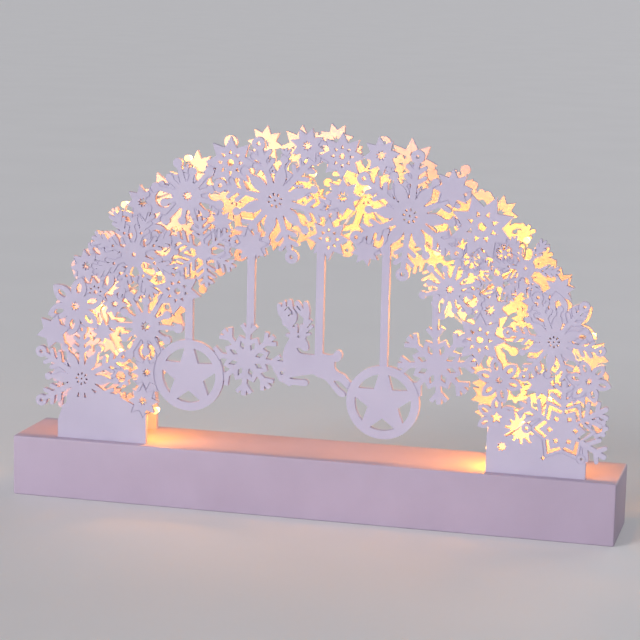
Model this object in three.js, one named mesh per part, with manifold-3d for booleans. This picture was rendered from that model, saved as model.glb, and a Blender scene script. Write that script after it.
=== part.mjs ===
// LED candle arch: two lace boards of overlapping snowflakes stand on a box base, one behind the
// other. A string of lamps runs behind the front board and lights the back one. The front board
// also carries a hanging chain of ornaments. Two cells in the base feed the string.
// Millimetres, +Z up, -Y is the front, origin on the ground under the middle of the base.
import * as THREE from 'three';
import { mergeVertices } from 'three/addons/utils/BufferGeometryUtils.js';
import Module from 'manifold-3d';

const wasm = await Module();
wasm.setup();

// Driving sizes
const LACE_WIDTH = 429;
const BOARD_THICKNESS = 4;
const BOARD_GAP = 44;
const TAB_SHOULDER = 12;
const BASE_OVERHANG = 10.5;
const BASE_LEDGE = 7;
const PANEL = 4;
const CELL_DIAMETER = 14.2;
const CELL_LENGTH = 50.2;
const NUB_DIAMETER = 5.5;
const NUB_HEIGHT = 1;
const SPRING_ROOM = 3.2;
const CONTACT_SHEET = 0.5;
const CONTACT_WIDTH = 7;
const LUG_WIDTH = 3;
const LUG_REACH = 1.5;
const HOLDER_WALL = 1.5;
const HOLDER_ROOM = 2.65;
const FLANGE = 1.5;
const FLANGE_MARGIN = 3;
const COVER_THICKNESS = 2;
const THUMB_DIAMETER = 10;
const CIRCUIT_THICKNESS = 1.2;
const CIRCUIT_WIDTH = 20;
const CIRCUIT_HEIGHT = 16;
const POST_WIDTH = 2;
const CHIP_WIDTH = 6;
const CHIP_HEIGHT = 1.5;
const SWITCH_WIDTH = 13;
const SWITCH_HEIGHT = 6;
const SWITCH_DEPTH = 4;
const SWITCH_WALL = 1;
const KNOB_WIDTH = 3;
const KNOB_TRAVEL = 4;
const KNOB_RECESS = 0.5;
const LEAD_DIAMETER = 1.6;
const FEED_DIAMETER = 1.2;
const LAMP_DIAMETER = 4.6;
const LAMP_LENGTH = 7;
const FIT = 0.3;

// Openings smaller than this area stay closed, and the lines are cut to this closeness
const LEAST_OPENING = 28;
const CLOSENESS = 1.1;

// Sizes that follow
const TAU = 2 * Math.PI;
const LACE = LACE_WIDTH / 429;
const CELL_RADIUS = CELL_DIAMETER / 2;
const HOLDER_HEIGHT = 2 * CELL_DIAMETER + FIT + 2 * HOLDER_WALL;
const BASE_WIDTH = LACE_WIDTH + 2 * BASE_OVERHANG;
const BASE_DEPTH = BOARD_GAP + 2 * BOARD_THICKNESS + 2 * BASE_LEDGE;
const BASE_HEIGHT = 2 * PANEL + HOLDER_HEIGHT + 2 * HOLDER_ROOM;
const SIDE = BASE_WIDTH / 2;
const BACK = BASE_DEPTH / 2;
const MIDDLE = BASE_HEIGHT / 2;
const MOUTH_Y = BACK - FIT;
const COVER_Y = MOUTH_Y - COVER_THICKNESS;
const CELL_Y = COVER_Y - FIT - CELL_RADIUS;
const BAY_FLOOR = CELL_Y - CELL_RADIUS;
const BAY_BOTTOM = MIDDLE - HOLDER_HEIGHT / 2 + HOLDER_WALL;
const BAY = CELL_LENGTH / 2 + SPRING_ROOM;
const HOLDER_HALF = BAY + 2 * HOLDER_WALL;
const CELL_LOW = BAY_BOTTOM + CELL_RADIUS;
const CELL_HIGH = CELL_LOW + CELL_DIAMETER;
const FLANGE_Y = BACK - PANEL - FLANGE;
const CIRCUIT_Y = FLANGE_Y - SWITCH_DEPTH;
const SWITCH_X = HOLDER_HALF + FLANGE_MARGIN + CIRCUIT_WIDTH / 2;
const KNOB_REACH = (KNOB_WIDTH + KNOB_TRAVEL) / 2 + FIT;
const LUG_Y = CELL_Y - CELL_RADIUS / 2;
const LEAD_RADIUS = LEAD_DIAMETER / 2;
const LEAD_Y = LEAD_RADIUS - BOARD_GAP / 2;
const LAMP_Y = LEAD_Y + LEAD_RADIUS;
const LEAD_BEND = 5 * LEAD_DIAMETER;

// The lace from the left end of the front board: kind, place across, height above the base,
// radius, turn in degrees. Later flakes lie over earlier ones.
const LACE_SHIFT = 4;
const FLAKES = [
  ['hexstar', -193, 50, 10, 20],
  ['hexstar', -161, 82, 9, 0],
  ['hoop', -127, 69, 13, 10],
  ['hexstar', -126, 44, 12, 30],
  ['petal', -156, 133, 22, 20],
  ['hexstar', -177, 128, 10, 0],
  ['petal', -131, 162, 22, 40],
  ['hoop', -138, 116, 10, 20],
  ['hoop', -116, 147, 13, 30],
  ['hoop', -75, 150, 13, 10],
  ['fern', -86, 190, 22, 10],
  ['hexstar', -102, 194, 12, 0],
  ['hexstar', -71, 168, 9, 10],
  ['hexstar', -45, 214, 10, 0],
  ['fern', -24, 201, 22, 30],
  ['hexstar', -44, 153, 10, 0],
  ['hexstar', 8, 182, 11, 0],
  ['hoop', 4, 222, 9, 20],
  ['hoop', 42, 161, 13, 40],
  ['hoop', 61, 191, 13, 30],
  ['fern', 60, 196, 22, 0],
  ['hexstar', 94, 162, 10, 40],
  ['hoop', 112, 151, 12, 20],
  ['fern', 111, 170, 17, 30],
  ['hoop', 135, 157, 12, 10],
  ['dendrite', 131, 137, 18, 10],
  ['hexstar', 126, 116, 14, 30],
  ['hexstar', 160, 124, 12, 0],
  ['hoop', 112, 122, 10, 10],
  ['hexstar', 164, 66, 12, 30],
  ['hexstar', 190, 63, 11, 30],
  ['petal', 133, 40, 15, 30],
  ['ring', -177.5, 45.5, 37, 30],
  ['petal', -182.5, 99.5, 23, -41],
  ['hexstar', -200, 79.5, 13.5, 15],
  ['starry', -174, 130, 12.5, 10],
  ['fern', -137.5, 140.5, 34, 26],
  ['ball', -128, 88, 25, 0],
  ['starry', -127, 53.5, 12, 0],
  ['blossom', -104, 115.5, 18, -10],
  ['starry', -131, 179, 13, 10],
  ['hoop', -115, 182.5, 13, 10],
  ['ball', -97, 185.5, 24.7, 48],
  ['dendrite', -84.5, 145.5, 26, 37],
  ['blossom', -65, 211, 19, 0],
  ['ring', -31.5, 185.5, 42, 48],
  ['star', -49, 152, 13, 10],
  ['starry', -8.5, 225.5, 13, 74],
  ['blossom', 17, 219, 17, 0],
  ['starry', 45, 221, 13.5, 7],
  ['starry', 18, 190.5, 14, 0],
  ['blossom', 8.5, 160, 15.5, 0],
  ['star', 35.5, 153, 11, 10],
  ['ring', 67, 179.5, 42, 24],
  ['star', 97, 200, 14, 0],
  ['blossom', 118.5, 174.5, 23.5, 20],
  ['ball', 97, 129, 20, 15],
  ['blossom', 119.5, 94.5, 19, 0],
  ['fern', 150, 147, 24, -4],
  ['star', 174, 133, 11, 10],
  ['petal', 176.5, 107.5, 25, 40],
  ['ring', 172, 96.5, 33, -8],
  ['petal', 134.5, 66.5, 17, 45],
];
const FOOT_FLAKES = [
  ['dendrite', 181, 34, 36, 30],
  ['starry', -129.5, 32, 12, 0],
  ['petal', 197.5, 70, 16, 49],
];

// The two solid feet of the lace, and what is cut from the right one
const FEET = [
  [
    [-196.2, 0], [-127.2, 0], [-127.2, 23], [-134, 27], [-146, 33], [-165, 37], [-171, 31], [-186, 32],
    [-189.5, 25], [-193.5, 21], [-196.2, 13],
  ],
  [[127, 0], [197.8, 0], [197.8, 15], [196, 27], [181, 39], [158, 43], [131, 47], [127, 27]],
];
const FOOT_CUTS = [['star5', 133.5, 39.5, 4.8, 90], ['star8', 150, 33, 11, 0], ['star8', 138, 19, 3.8, 10]];

// The hanging chain, in one piece with the front board: upright bars as place, from, to and width
const BARS = [
  [-94.8, 77, 112, 5.7], [-48.4, 92, 150, 5.6], [3, 70, 158, 5.8], [50.7, 68, 158, 5.6], [87.4, 99, 125, 4.5],
];
const CHAIN = [
  ['crystal', -51, 69, 27, -3.8],
  ['crystal', 89.5, 74.5, 28.5, 4.7],
  ['medal', -94.5, 53.9, 26.4, 0],
  ['medal', 51, 44.3, 26.8, 0],
];

// The leaping reindeer: limbs as lines of place, height and width
const DEER = [
  [[-24, 70, 6], [-17, 67, 17], [-8, 67.6, 15.4], [2, 68, 14], [9, 68, 15], [14, 69.5, 9]],
  [[-17, 68, 14], [-18, 76, 10], [-15.6, 83, 7.6], [-13.6, 88, 8]],
  [[-15.5, 89.5, 7], [-11, 86, 8.6], [-6, 80.4, 4.6]],
  [[-17, 91, 2], [-21.5, 88.5, 1]],
  [[-29, 66, 6], [-25.5, 60, 9], [-21, 55.6, 6], [-16, 54, 4.6], [-6, 54.8, 4.4]],
  [[10, 64, 11], [19, 61.5, 7], [25, 56, 5.4], [30, 53, 4]],
  [[6, 64, 9], [11, 58, 6], [16, 51.6, 4.4], [22, 47.4, 3.4]],
  [[12.5, 73, 5], [16.8, 74, 6.4], [18, 79, 4.4]],
  [[-9.5, 88, 4], [-8.6, 100, 4.4], [-6.6, 107, 4.4], [-7.4, 114.6, 2.6]],
  [[-8.4, 101.5, 2.8], [-15.6, 109.4, 2.2]],
  [[-8.2, 106, 3.2], [-14.6, 114.6, 2.6]],
  [[-8.5, 95, 3.4], [-3, 101, 2.8]],
  [[-9, 90.5, 3.4], [-2.4, 96.4, 2.6]],
  [[-15.5, 90, 4.4], [-15.4, 102, 4], [-19, 107.6, 3], [-19.5, 114.6, 2.4]],
  [[-15.5, 95.4, 5], [-22, 101, 5.4], [-24.8, 106.5, 3.6], [-23.2, 113.4, 2.4]],
  [[-22, 100.5, 3.4], [-27.2, 105.5, 3], [-27.8, 111.6, 2.4]],
];
const DEER_HOLES = [[-24.2, 60.6, 1.6], [-12.1, 88.2, 1]];

// The string from the left foot over the arch to the right foot: lamps, and bends where it has none
const STRING = [
  [-132, 20, 'bend'], [-122, 24], [-129, 34, 'bend'], [-128, 52, 'bend'], [-151, 66], [-166, 98], [-120, 128],
  [-137, 146, 'bend'], [-147, 176], [-131, 178, 'bend'], [-112, 186, 'bend'], [-100, 194, 'bend'], [-99, 212],
  [-90, 201, 'bend'], [-65, 211], [-46, 183], [-6, 205], [13, 160], [34, 196], [86, 154], [118, 158],
  [139, 160, 'bend'], [149, 166], [148, 150, 'bend'], [98, 111], [119.5, 95], [198, 101], [172, 96, 'bend'],
  [166, 66, 'bend'], [169, 53], [151, 34], [128, 16],
];
const LAMPS = STRING.filter(([, , bend]) => !bend);
const LEAD_HOLE_X = (STRING[0][0] + LACE_SHIFT) * LACE;

// Outline helpers, in the plane of a board
const polar = (r, a) => [r * Math.cos(a), r * Math.sin(a)];
const shifted = (points, u, v) => points.map(([x, y]) => [x + u, y + v]);
const turned = (points, a) => points.map(([x, y]) => [
  x * Math.cos(a) - y * Math.sin(a),
  x * Math.sin(a) + y * Math.cos(a),
]);

function disc(x, y, r, n) {
  const points = [];
  for (let k = 0; k < n; k++) points.push(polar(r, (TAU * k) / n));
  return shifted(points, x, y);
}

function starLine(n, outer, inner, turn = 0) {
  const points = [];
  for (let k = 0; k < 2 * n; k++) points.push(polar(k % 2 ? inner : outer, turn + (Math.PI * k) / n));
  return points;
}

// An outline that is the same on both sides of its axis, from its upper points
function mirrored(points) {
  const lower = points.filter(([, y]) => y > 0).map(([x, y]) => [x, -y]);
  return [...lower, ...points.slice().reverse()];
}

// The shapes that a function makes, repeated round a centre
function around(n, start, shapes) {
  const all = [];
  for (let k = 0; k < n; k++) {
    for (const points of shapes) all.push(turned(points, start + (TAU * k) / n));
  }
  return all;
}

const arm = (from, to, w0, w1) => [[from, -w0 / 2], [to, -w1 / 2], [to, w1 / 2], [from, w0 / 2]];
const barb = (x, reach, ahead, w) => mirrored([[x - w, 0], [x + ahead, reach], [x + w, 0]]);

// A limb of changing width along a line
function limb(line) {
  const left = [];
  const right = [];
  line.forEach(([x, y, w], k) => {
    const [px, py] = line[Math.max(k - 1, 0)];
    const [nx, ny] = line[Math.min(k + 1, line.length - 1)];
    const length = Math.hypot(nx - px, ny - py);
    const [sx, sy] = [(-(ny - py) / length) * (w / 2), ((nx - px) / length) * (w / 2)];
    left.push([x + sx, y + sy]);
    right.unshift([x - sx, y - sy]);
  });
  return [...right, ...left];
}

// Snowflakes: what each one adds to the board and what it cuts from it
const KINDS = {
  ring(R) {
    const k = R / 42;
    const long = [
      arm(0, R - 3 * k, 5 * k, 3.8 * k),
      disc(R, 0, 4.9 * k, 6),
      barb(27 * k, 9 * k, 6 * k, 4 * k),
    ];
    const short = [mirrored([[0, 0], [16 * k, 4.4 * k], [31 * k, 2.4 * k]])];
    const add = [disc(0, 0, 11 * k, 12), ...around(6, 0, long), ...around(6, Math.PI / 6, short)];
    return [add, around(6, 0, [disc(R, 0, 2.1 * k, 4)])];
  },
  ball(R) {
    const k = R / 25;
    const long = [arm(0, R, 4.4 * k, 3.2 * k), disc(R, 0, 3.7 * k, 6)];
    const short = [arm(0, 0.75 * R, 4.2 * k, 3 * k), disc(0.75 * R, 0, 3.3 * k, 5)];
    const add = [disc(0, 0, 9 * k, 12), ...around(6, 0, long), ...around(6, Math.PI / 6, short)];
    return [add, [starLine(8, 4 * k, 2.1 * k)]];
  },
  blossom(R) {
    const gap = [[0.33 * R, -0.08 * R], [0.52 * R, 0], [0.33 * R, 0.08 * R]];
    return [[starLine(8, R, 0.6 * R)], [disc(0, 0, 0.13 * R, 8), ...around(8, 0, [gap])]];
  },
  star: (R) => [[starLine(8, R, 0.58 * R)], []],
  hexstar: (R) => [[starLine(6, R, 0.58 * R)], []],
  starry: (R) => [[starLine(8, R, 0.6 * R)], [starLine(6, 0.3 * R, 0.15 * R, Math.PI / 8)]],
  star5: (R) => [[], [starLine(5, R, 0.45 * R)]],
  star8: (R) => [[], [starLine(8, R, 0.6 * R)]],
  hoop(R) {
    const lobe = [disc(0.82 * R, 0, 0.2 * R, 6)];
    return [[disc(0, 0, 0.8 * R, 16), ...around(8, 0, lobe)], [disc(0, 0, 0.5 * R, 12)]];
  },
  petal(R) {
    const leaf = [mirrored([[0, 0], [0.42 * R, 0.26 * R], [0.8 * R, 0.22 * R], [R, 0]])];
    const eye = [mirrored([[0.42 * R, 0], [0.6 * R, 0.1 * R], [0.78 * R, 0]])];
    const add = [disc(0, 0, 0.42 * R, 12), ...around(6, 0, leaf)];
    return [add, [starLine(6, 0.18 * R, 0.1 * R), ...around(6, 0, eye)]];
  },
  fern(R) {
    const frond = [
      arm(0, R, 0.12 * R, 0.09 * R),
      barb(0.48 * R, 0.2 * R, 0.18 * R, 0.1 * R),
      barb(0.74 * R, 0.16 * R, 0.14 * R, 0.1 * R),
    ];
    return [[disc(0, 0, 0.27 * R, 10), ...around(6, 0, frond)], [disc(0, 0, 0.05 * R, 6)]];
  },
  dendrite(R) {
    const branch = [
      arm(0, R, 0.11 * R, 0.09 * R),
      barb(0.38 * R, 0.27 * R, 0.16 * R, 0.09 * R),
      barb(0.66 * R, 0.22 * R, 0.14 * R, 0.09 * R),
    ];
    return [[disc(0, 0, 0.23 * R, 6), ...around(6, 0, branch)], []];
  },
  crystal(R) {
    const k = R / 26;
    const fork = [
      arm(0, R, 3.5 * k, 3.5 * k),
      mirrored([[17 * k, 0], [22.5 * k, 6.6 * k], [24.6 * k, 4.6 * k], [21 * k, 0]]),
    ];
    const point = [mirrored([[4 * k, 0], [12 * k, 5 * k], [17.4 * k, 0.4 * k]])];
    const eye = [mirrored([[7 * k, 0], [9.8 * k, 1.5 * k], [13 * k, 0]])];
    const add = [disc(0, 0, 6.4 * k, 8), ...around(8, 0, fork), ...around(8, Math.PI / 8, point)];
    return [add, around(8, Math.PI / 8, eye)];
  },
  medal(R) {
    const inner = 0.77 * R;
    const gap = [polar(0.43 * R, Math.PI / 5)];
    for (let k = 0; k <= 4; k++) gap.unshift(polar(inner, 0.17 + ((TAU / 5 - 0.34) * k) / 4));
    return [[disc(0, 0, R, 32)], around(5, Math.PI / 2, [gap.reverse()])];
  },
};

// Solids
function solidOf(geometry) {
  const bare = geometry.clone();
  bare.deleteAttribute('normal');
  bare.deleteAttribute('uv');
  const welded = mergeVertices(bare, 1e-5);
  return new wasm.Manifold(new wasm.Mesh({
    numProp: 3,
    vertProperties: new Float32Array(welded.attributes.position.array),
    triVerts: new Uint32Array(welded.index.array),
  }));
}

function geometryOf(solid) {
  const mesh = solid.getMesh();
  const geometry = new THREE.BufferGeometry();
  geometry.setAttribute('position', new THREE.BufferAttribute(Float32Array.from(mesh.vertProperties), 3));
  geometry.setIndex(Array.from(mesh.triVerts));
  geometry.computeVertexNormals();
  return geometry;
}

function joined(solids) {
  let sum = solids[0];
  for (const solid of solids.slice(1)) sum = sum.add(solid);
  return sum;
}

function extruded(points, holes, from, to) {
  const shape = new THREE.Shape(points.map(([x, y]) => new THREE.Vector2(x, y)));
  for (const hole of holes) shape.holes.push(new THREE.Path(hole.map(([x, y]) => new THREE.Vector2(x, y))));
  const geometry = new THREE.ExtrudeGeometry(shape, { depth: to - from, bevelEnabled: false, steps: 1 });
  return geometry.translate(0, 0, from);
}

const sized = (points) => points.map(([x, y]) => [x * LACE, y * LACE]);
const plateOf = (points) => solidOf(extruded(sized(points), [], 0, BOARD_THICKNESS));
const cutterOf = (points) => solidOf(extruded(sized(points), [], -1, BOARD_THICKNESS + 1));

function box(x0, x1, y0, y1, z0, z1) {
  const geometry = new THREE.BoxGeometry(x1 - x0, y1 - y0, z1 - z0);
  return solidOf(geometry.translate((x0 + x1) / 2, (y0 + y1) / 2, (z0 + z1) / 2));
}

// Flakes laid one over the other in their order, each with its own openings
function layered(flakes, start) {
  let board = start;
  for (const [kind, u, v, radius, turn] of flakes) {
    const [add, cut] = KINDS[kind](radius);
    const place = (points) => shifted(turned(points, (turn * Math.PI) / 180), u, v);
    if (add.length) {
      const body = joined(add.map((points) => plateOf(place(points))));
      board = board ? board.add(body) : body;
    }
    if (cut.length) board = board.subtract(joined(cut.map((points) => cutterOf(place(points)))));
  }
  return board;
}

// The closed lines round a flat board, seen from its face at height 0
function linesOf(board) {
  const { vertProperties: p, triVerts: t } = board.getMesh();
  const edges = new Map();
  const key = (i) => `${p[3 * i].toFixed(4)},${p[3 * i + 1].toFixed(4)}`;
  for (let i = 0; i < t.length; i += 3) {
    const corners = [t[i], t[i + 1], t[i + 2]];
    if (corners.some((c) => Math.abs(p[3 * c + 2]) > 1e-4)) continue;
    for (let k = 0; k < 3; k++) {
      const from = key(corners[k]);
      const to = key(corners[(k + 1) % 3]);
      if (!edges.delete(`${to}>${from}`)) edges.set(`${from}>${to}`, [from, to]);
    }
  }
  const next = new Map();
  for (const [from, to] of edges.values()) next.set(from, [...(next.get(from) ?? []), to]);
  const lines = [];
  for (const start of next.keys()) {
    while (next.get(start).length) {
      const line = [];
      for (let at = start; next.get(at)?.length; at = next.get(at).pop()) {
        line.push(at.split(',').map(Number));
      }
      lines.push(line);
    }
  }
  return lines;
}

const areaOf = (line) => Math.abs(line.reduce((sum, [x, y], k) => {
  const [nx, ny] = line[(k + 1) % line.length];
  return sum + (x * ny - nx * y) / 2;
}, 0));

// An open line without the points that lie close to the straight run past them
function easedRun(points) {
  const [ax, ay] = points[0];
  const [bx, by] = points[points.length - 1];
  const length = Math.hypot(bx - ax, by - ay);
  let far = 0;
  let worst = CLOSENESS;
  for (let k = 1; k < points.length - 1; k++) {
    const [x, y] = points[k];
    const beside = Math.abs((bx - ax) * (y - ay) - (by - ay) * (x - ax)) / length;
    const off = length ? beside : Math.hypot(x - ax, y - ay);
    if (off > worst) [far, worst] = [k, off];
  }
  if (!far) return [points[0], points[points.length - 1]];
  return [...easedRun(points.slice(0, far + 1)).slice(0, -1), ...easedRun(points.slice(far))];
}

// The same for a closed line, from its first point to the farthest one and back
function eased(line) {
  const reach = line.map(([x, y]) => Math.hypot(x - line[0][0], y - line[0][1]));
  const half = reach.indexOf(Math.max(...reach));
  const there = easedRun(line.slice(0, half + 1));
  const back = easedRun([...line.slice(half), line[0]]);
  return [...there.slice(0, -1), ...back.slice(0, -1)];
}

// The lace with its two feet, not yet cleaned
function laceSolid() {
  const under = layered(FLAKES, null).add(joined(FEET.map(plateOf)));
  return layered([...FOOT_CUTS, ...FOOT_FLAKES], under);
}

// The hanging chain: bars and reindeer first, the round ornaments over them
function chainSolid() {
  const bars = BARS.map(([u, from, to, w]) => shifted(turned(arm(from, to, w, w), Math.PI / 2), u, 0));
  const deer = joined(DEER.map(limb).map(plateOf));
  const holes = joined(DEER_HOLES.map(([u, v, r]) => cutterOf(disc(u, v, r, 6))));
  return layered(CHAIN, joined(bars.map(plateOf)).add(deer.subtract(holes)));
}

// Tabs under the feet that pass through the base
const TABS = FEET.map((foot) => {
  const across = foot.filter(([, v]) => v === 0).map(([u]) => u * LACE);
  return [Math.min(...across) + TAB_SHOULDER, Math.max(...across) - TAB_SHOULDER];
});

// A board as it is cut: level under its feet, with its tabs, without openings too small to cut
function boardGeometry(solid) {
  const level = solid.subtract(box(-LACE_WIDTH, LACE_WIDTH, -LACE_WIDTH, 0, -1, BOARD_THICKNESS + 1));
  const tabs = TABS.map(([from, to]) => box(from, to, -PANEL, 1, 0, BOARD_THICKNESS));
  const lines = linesOf(joined([level, ...tabs])).filter((line) => areaOf(line) > LEAST_OPENING);
  lines.sort((a, b) => areaOf(b) - areaOf(a));
  const [outline, ...openings] = lines.map(eased);
  const geometry = extruded(outline, openings, 0, BOARD_THICKNESS);
  geometry.translate(LACE_SHIFT * LACE, 0, BOARD_GAP / 2);
  return geometry.rotateX(Math.PI / 2).translate(0, 0, BASE_HEIGHT);
}

// Materials
const material = (values) => new THREE.MeshStandardMaterial(values);
const whitePaint = () => material({ color: 0xf3f2f6, roughness: 0.55 });
const blackPlastic = () => material({ color: 0x2a2a2c, roughness: 0.5 });
const sheetMetal = () => material({ color: 0xc9c6bd, roughness: 0.35, metalness: 1 });
const leadPlastic = (color = 0xe9e4d6) => material({ color, roughness: 0.4 });
const cellSleeve = () => material({ color: 0x2f4f3f, roughness: 0.4, metalness: 0.3 });
const circuitGreen = () => material({ color: 0x2f6b46, roughness: 0.5 });
const lampResin = () => material({ color: 0xffe2a8, roughness: 0.2, emissive: 0xffb347 });

const arch = new THREE.Group();
arch.name = 'led_candle_arch';

function put(name, geometry, paint) {
  const mesh = new THREE.Mesh(geometry, paint);
  mesh.name = name;
  arch.add(mesh);
}

// Boards
const lace = laceSolid();
put('front_board', boardGeometry(lace.add(chainSolid())), whitePaint());
put('back_board', boardGeometry(lace).rotateZ(Math.PI), whitePaint());

// Base box
function baseTop() {
  let top = box(-SIDE, SIDE, -BACK, BACK, BASE_HEIGHT - PANEL, BASE_HEIGHT);
  const near = BOARD_GAP / 2 - FIT;
  const far = BOARD_GAP / 2 + BOARD_THICKNESS + FIT;
  for (const [from, to] of TABS) {
    const x0 = from + LACE_SHIFT * LACE - FIT;
    const x1 = to + LACE_SHIFT * LACE + FIT;
    top = top.subtract(box(x0, x1, -far, -near, BASE_HEIGHT - PANEL - 1, BASE_HEIGHT + 1));
    top = top.subtract(box(-x1, -x0, near, far, BASE_HEIGHT - PANEL - 1, BASE_HEIGHT + 1));
  }
  const hole = new THREE.CylinderGeometry(LEAD_RADIUS + FIT, LEAD_RADIUS + FIT, PANEL + 2, 8);
  hole.rotateX(Math.PI / 2).translate(LEAD_HOLE_X, LEAD_Y, BASE_HEIGHT - PANEL / 2);
  return geometryOf(top.subtract(solidOf(hole)));
}

// The way of the switch knob through a wall
const knobSlot = (y0, y1) => box(
  SWITCH_X - KNOB_REACH, SWITCH_X + KNOB_REACH, y0, y1,
  MIDDLE - KNOB_WIDTH / 2 - FIT, MIDDLE + KNOB_WIDTH / 2 + FIT,
);

function baseBack() {
  const wall = box(-SIDE, SIDE, BACK - PANEL, BACK, PANEL, BASE_HEIGHT - PANEL);
  const x = HOLDER_HALF + FIT;
  const z = HOLDER_HEIGHT / 2 + FIT;
  const mouth = box(-x, x, BACK - PANEL - 1, BACK + 1, MIDDLE - z, MIDDLE + z);
  return geometryOf(wall.subtract(mouth).subtract(knobSlot(BACK - PANEL - 1, BACK + 1)));
}

const baseWall = (y) => geometryOf(box(-SIDE, SIDE, y, y + PANEL, PANEL, BASE_HEIGHT - PANEL));
const baseEnd = (x) => geometryOf(box(x, x + PANEL, PANEL - BACK, BACK - PANEL, PANEL, BASE_HEIGHT - PANEL));

put('base_top', baseTop(), whitePaint());
put('base_bottom', geometryOf(box(-SIDE, SIDE, -BACK, BACK, 0, PANEL)), whitePaint());
put('base_front', baseWall(-BACK), whitePaint());
put('base_back', baseBack(), whitePaint());
put('base_end_left', baseEnd(-SIDE), whitePaint());
put('base_end_right', baseEnd(SIDE - PANEL), whitePaint());

// Cell holder: a bay for two cells, a flange inside the back panel, and posts for the circuit
function cellHolder() {
  const z = HOLDER_HEIGHT / 2;
  const flangeZ = MIDDLE - PANEL - FIT;
  const flangeEnd = SWITCH_X + CIRCUIT_WIDTH / 2 + FLANGE_MARGIN;
  let tray = box(-HOLDER_HALF, HOLDER_HALF, BAY_FLOOR - HOLDER_WALL, MOUTH_Y, MIDDLE - z, MIDDLE + z);
  tray = tray.add(box(
    -HOLDER_HALF - FLANGE_MARGIN, flangeEnd, FLANGE_Y, BACK - PANEL, MIDDLE - flangeZ, MIDDLE + flangeZ,
  ));
  for (const side of [-1, 1]) {
    const x = SWITCH_X + side * ((CIRCUIT_WIDTH - POST_WIDTH) / 2 - FIT);
    const half = POST_WIDTH / 2;
    tray = tray.add(box(x - half, x + half, CIRCUIT_Y, FLANGE_Y + 1, MIDDLE - 5 * half, MIDDLE + 5 * half));
  }
  tray = tray.subtract(box(-BAY, BAY, BAY_FLOOR, BACK, MIDDLE - z + HOLDER_WALL, MIDDLE + z - HOLDER_WALL));
  const seat = BAY + HOLDER_WALL;
  tray = tray.subtract(box(-seat, seat, COVER_Y, BACK, MIDDLE - z + HOLDER_WALL, MIDDLE + z - HOLDER_WALL));
  tray = tray.subtract(knobSlot(FLANGE_Y - 1, BACK));
  for (const level of [CELL_LOW, CELL_HIGH]) {
    const half = CONTACT_SHEET / 2 + FIT;
    const reach = LUG_WIDTH / 2 + FIT;
    const [near, far] = [LUG_Y - reach, LUG_Y + reach];
    tray = tray.subtract(box(BAY - 1, HOLDER_HALF + 1, near, far, level - half, level + half));
  }
  return geometryOf(tray);
}

// Cover let into the mouth of the bay, with a dip for the thumb
function cellCover() {
  const x = BAY + HOLDER_WALL - FIT;
  const z = HOLDER_HEIGHT / 2 - HOLDER_WALL - FIT;
  const plate = box(-x, x, COVER_Y, MOUTH_Y, MIDDLE - z, MIDDLE + z);
  const radius = THUMB_DIAMETER / 2;
  const thumb = new THREE.CylinderGeometry(radius, radius, COVER_THICKNESS, 12);
  thumb.translate(x - 1.6 * radius, MOUTH_Y, MIDDLE);
  return geometryOf(plate.subtract(solidOf(thumb)));
}

// A cell with its nub towards one end
function cell(level, towards) {
  const end = CELL_LENGTH / 2;
  const shoulder = end - NUB_HEIGHT;
  const line = [
    [0, -end], [CELL_RADIUS, -end], [CELL_RADIUS, shoulder],
    [NUB_DIAMETER / 2, shoulder], [NUB_DIAMETER / 2, end], [0, end],
  ];
  const geometry = new THREE.LatheGeometry(line.map(([x, y]) => new THREE.Vector2(x, y)), 16);
  return geometryOf(solidOf(geometry.rotateZ((-towards * Math.PI) / 2).translate(0, CELL_Y, level)));
}

// Contacts at the ends of the bay: a backing sheet on the wall and a tongue out to the cell
function contact(level, end, room) {
  const z = CONTACT_WIDTH / 2;
  const wall = end * BAY;
  const face = end * (BAY - CONTACT_SHEET);
  const tip = end * (BAY - room);
  const bent = tip + end * CONTACT_SHEET;
  const line = [
    [wall, level - z], [face, level - z], [face, level - 0.6 * z], [tip, level],
    [tip, level + 0.35 * z], [bent, level + 0.35 * z], [bent, level + 0.1 * z],
    [face, level - 0.3 * z], [face, level + z], [wall, level + z],
  ];
  const geometry = extruded(line, [], -CELL_Y - z, z - CELL_Y);
  return solidOf(geometry.rotateX(Math.PI / 2));
}

// The end of a contact that passes through the bay wall to its lead
const lug = (level) => box(
  BAY - CONTACT_SHEET, HOLDER_HALF + LUG_REACH, LUG_Y - LUG_WIDTH / 2, LUG_Y + LUG_WIDTH / 2,
  level - CONTACT_SHEET / 2, level + CONTACT_SHEET / 2,
);

// The sheet that joins the two contacts of the far end
const bridge = () => box(
  -BAY, CONTACT_SHEET - BAY, CELL_Y - CONTACT_WIDTH / 2, CELL_Y + CONTACT_WIDTH / 2,
  CELL_LOW + CONTACT_WIDTH / 4, CELL_HIGH - CONTACT_WIDTH / 4,
);

put('cell_holder', cellHolder(), blackPlastic());
put('cell_cover', cellCover(), blackPlastic());
put('cell_lower', cell(CELL_LOW, 1), cellSleeve());
put('cell_upper', cell(CELL_HIGH, -1), cellSleeve());
const linked = joined([contact(CELL_LOW, -1, SPRING_ROOM), contact(CELL_HIGH, -1, SPRING_ROOM), bridge()]);
put('contact_bridge', geometryOf(linked), sheetMetal());
put('contact_plus', geometryOf(contact(CELL_LOW, 1, SPRING_ROOM).add(lug(CELL_LOW))), sheetMetal());
put('contact_minus', geometryOf(contact(CELL_HIGH, 1, SPRING_ROOM).add(lug(CELL_HIGH))), sheetMetal());

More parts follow.
